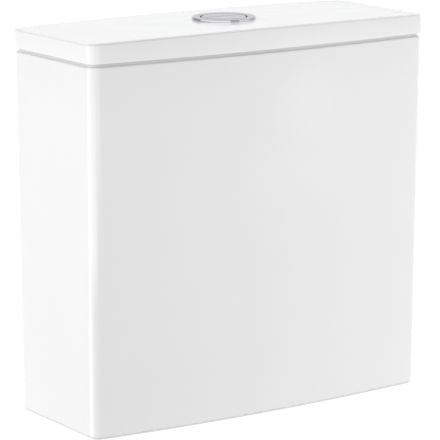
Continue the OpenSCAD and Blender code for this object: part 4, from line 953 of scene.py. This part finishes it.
class CISTERN_OT_stage(bpy.types.Operator):
    """Pale floor, soft studio light and the camera"""

    bl_idname = "cistern.stage"
    bl_label = "Stage"

    def execute(self, context):
        stage = context.scene.cistern_stage
        self.camera(context, stage)
        self.floor(stage)
        self.lights(context, stage)
        self.reflectors(context, stage)
        self.room(context, stage)
        context.scene.view_settings.view_transform = "Standard"
        context.scene.view_settings.look = "None"
        return {"FINISHED"}

    def camera(self, context, stage):
        """Camera that stands where the photograph was taken."""
        data = bpy.data.cameras.new("camera")
        data.lens = stage.lens
        data.sensor_width = 36
        made = bpy.data.objects.new("camera", data)
        context.scene.collection.objects.link(made)
        eye, target = Vector(stage.eye), Vector(stage.target)
        made.location = eye
        made.rotation_euler = (target - eye).to_track_quat("-Z", "Y").to_euler()
        made.rotation_euler.rotate_axis("Z", stage.roll)
        data.clip_end = 100
        context.scene.camera = made

    def floor(self, stage):
        """Wide floor with a glow of its own."""
        bm = bmesh.new()
        bmesh.ops.create_circle(bm, cap_ends=True, segments=96, radius=14)
        made = to_object("floor", bm)
        made.location.z = -0.2 * MM
        n = Nodes("floor")
        n.set(Roughness=0.9, Specular_IOR_Level=0.0, Emission_Color=(1, 1, 1), Emission_Strength=stage.floor_glow)
        n.link(n.ramp(n.noise(3, 2), [(0.3, shade(stage.floor, 0.99)), (0.7, shade(stage.floor, 1.01))]), "Base Color")
        made.data.materials.append(n.material)

    def lights(self, context, stage):
        """Two wide suns and a soft lamp, none of them mirrored."""
        for name, kind, strength, place in (
                ("left_light", "SUN", stage.left, (-0.98, 0.17, 0.20)),
                ("top_light", "SUN", stage.top, (0.36, 0.30, 0.88)),
                ("front_light", "AREA", stage.front, stage.front_place)):
            data = bpy.data.lights.new(name, kind)
            data.energy = strength
            made = bpy.data.objects.new(name, data)
            if kind == "SUN":
                data.angle = math.radians(30)
                aim = Vector(place)
            else:
                data.size = 0.2
                made.location = place
                aim = Vector(place) - Vector(stage.target)
            made.rotation_euler = aim.to_track_quat("Z", "Y").to_euler()
            made.visible_glossy = False
            context.scene.collection.objects.link(made)

    def reflectors(self, context, stage):
        """Boards that show only as reflections in the glaze and the chrome."""
        china = context.scene.cistern_china
        # Each board is a bent sheet: the centre, radius and level of the arc at its foot and at its head.
        x, y = LID_LOW.x - china.swell + china.front_corner, LID_LOW.y + 17.3 * MM
        reach, low, lid = china.front_corner + 2.5 * MM, 0.5 * MM, LID_HIGH.z
        corner = ((x + china.side_taper, y + china.front_taper, reach, low), (x, y, reach, lid))
        x, y = TANK_HIGH.x, LID_LOW.y + 14 * MM
        edge = ((x, y, 12 * MM, low), (x, y, 170 * MM, lid))
        eaves = lid + 0.75
        rear = ((0, 0, 1.2, lid - 0.15), (0, 0, 1.0, eaves))
        window = ((0, 0, 1.0, lid + 0.06), (0, 0, 1.0, eaves))
        ceiling = ((0, 0, 1.0, eaves), (0, 0, 0.0, lid + 1.1))
        # Boards that dim downwards: the levels where it ends and begins, and the share of the glow that is left.
        fades = {"corner_board": (0.03, 0.2, 0.75), "corner_fill": (0.12, 0.175, 0.3),
                 "corner_turn": (0.15, 0.28, 0.4)}
        steps = 12
        for name, start, end, foot_and_head, glow in (
                ("corner_board", (153, 179), 193, corner, stage.card),
                ("corner_fill", 193, 254, corner, stage.card * 0.95),
                ("corner_turn", 254, 283, corner, stage.card * 0.8),
                ("edge_board", 22, 62, edge, stage.flag),
                ("backdrop", 16, 96, rear, 1.0),
                ("ceiling", 0, 360, ceiling, stage.ceiling),
                ("far_left_wall", 96, 144, window, stage.wall),
                ("left_window", 144, 260, window, stage.window),
                ("near_wall", 260, 294, window, stage.wall),
                ("right_window", 294, 342, window, stage.window * 0.8),
                ("far_right_wall", 342, 376, window, stage.wall)):
            bm = bmesh.new()
            starts = start if isinstance(start, tuple) else (start, start)
            rows = [[bm.verts.new((u, v, rise)) for u, v in arc(x, y, reach, begin, end, steps)]
                    for begin, (x, y, reach, rise) in zip(starts, foot_and_head)]
            for i in range(steps):
                bm.faces.new((rows[0][i], rows[0][i + 1], rows[1][i + 1], rows[1][i]))
            made = to_object(name, bm)
            n = Nodes(name)
            tint = stage.backdrop if name == "backdrop" else (1, 1, 1)
            n.set(Base_Color=(0, 0, 0), Specular_IOR_Level=0.0, Emission_Color=tint, Emission_Strength=glow)
            if name in fades:
                height = n.new("ShaderNodeSeparateXYZ", [(n.place, "Vector")]).outputs["Z"]
                low, high, least = fades[name]
                n.link(n.range(height, low, high, glow * least, glow), "Emission Strength")
            made.data.materials.append(n.material)
            for way in ("camera", "diffuse", "transmission", "volume_scatter", "shadow"):
                setattr(made, "visible_" + way, False)

    def room(self, context, stage):
        """Room that lights and mirrors in the cistern; the camera itself sees plain white."""
        world = bpy.data.worlds.new("studio")
        world.use_nodes = True
        tree = world.node_tree

        towards = add_node(tree, "ShaderNodeTexCoord").outputs["Generated"]
        way = add_node(tree, "ShaderNodeSeparateXYZ", [(towards, "Vector")]).outputs
        band = add_node(tree, "ShaderNodeValToRGB", [(way["Z"], "Fac")])
        set_stops(band, [(at, stage.room * glow) for at, glow in ((0.0, 1.0), (0.30, 1.0), (0.48, 0.25), (1.0, 0.2))])
        behind = add_node(tree, "ShaderNodeMapRange", [(way["Y"], "Value")], From_Min=-0.1, From_Max=0.6, To_Min=1.0,
                          To_Max=0.35)
        lit = add_node(tree, "ShaderNodeBackground", [(band.outputs["Color"], "Color"),
                                                      (behind.outputs[0], "Strength")])
        seen = tree.nodes["Background"]
        seen.inputs["Color"].default_value = (1, 1, 1, 1)
        path = add_node(tree, "ShaderNodeLightPath").outputs["Is Camera Ray"]
        mix = add_node(tree, "ShaderNodeMixShader", [(path, 0), (lit.outputs[0], 1), (seen.outputs[0], 2)])
        tree.links.new(mix.outputs[0], tree.nodes["World Output"].inputs["Surface"])
        context.scene.world = world


# Sidebar

STEPS = ("tank", "lid", "button", "button_works", "flush_valve", "flush_linkage", "inlet_valve", "fill_float",
         "stage")
SETTINGS = {"cistern_china": CisternChina, "cistern_button": CisternButton, "cistern_works": CisternWorks,
            "cistern_stage": CisternStage}
CLASSES = (CISTERN_OT_tank, CISTERN_OT_lid, CISTERN_OT_button, CISTERN_OT_button_works, CISTERN_OT_flush_valve,
           CISTERN_OT_flush_linkage, CISTERN_OT_inlet_valve, CISTERN_OT_fill_float, CISTERN_OT_stage)


class CISTERN_PT_panel(bpy.types.Panel):
    """Sidebar panel with the cistern's pieces and settings"""

    bl_idname = "CISTERN_PT_panel"
    bl_label = "Toilet cistern"
    bl_space_type = "VIEW_3D"
    bl_region_type = "UI"
    bl_category = "Cistern"

    def draw(self, context):
        for step in STEPS:
            self.layout.operator("cistern." + step)
        for name, group in SETTINGS.items():
            box = self.layout.box()
            for key in group.__annotations__:
                box.prop(getattr(context.scene, name), key)


def register():
    """Makes the settings, operators and panel known to Blender."""
    for group in SETTINGS.values():
        bpy.utils.register_class(group)
    for cls in (*CLASSES, CISTERN_PT_panel):
        bpy.utils.register_class(cls)
    for name, group in SETTINGS.items():
        setattr(bpy.types.Scene, name, PointerProperty(type=group))


def unregister():
    """Takes the settings, operators and panel out again."""
    for name in SETTINGS:
        delattr(bpy.types.Scene, name)
    for cls in (CISTERN_PT_panel, *reversed(CLASSES)):
        bpy.utils.unregister_class(cls)
    for group in reversed(SETTINGS.values()):
        bpy.utils.unregister_class(group)


def main():
    """Registers everything and makes the pieces and the stage in order."""
    register()
    for step in STEPS:
        getattr(bpy.ops.cistern, step)()


if __name__ == "__main__":
    main()
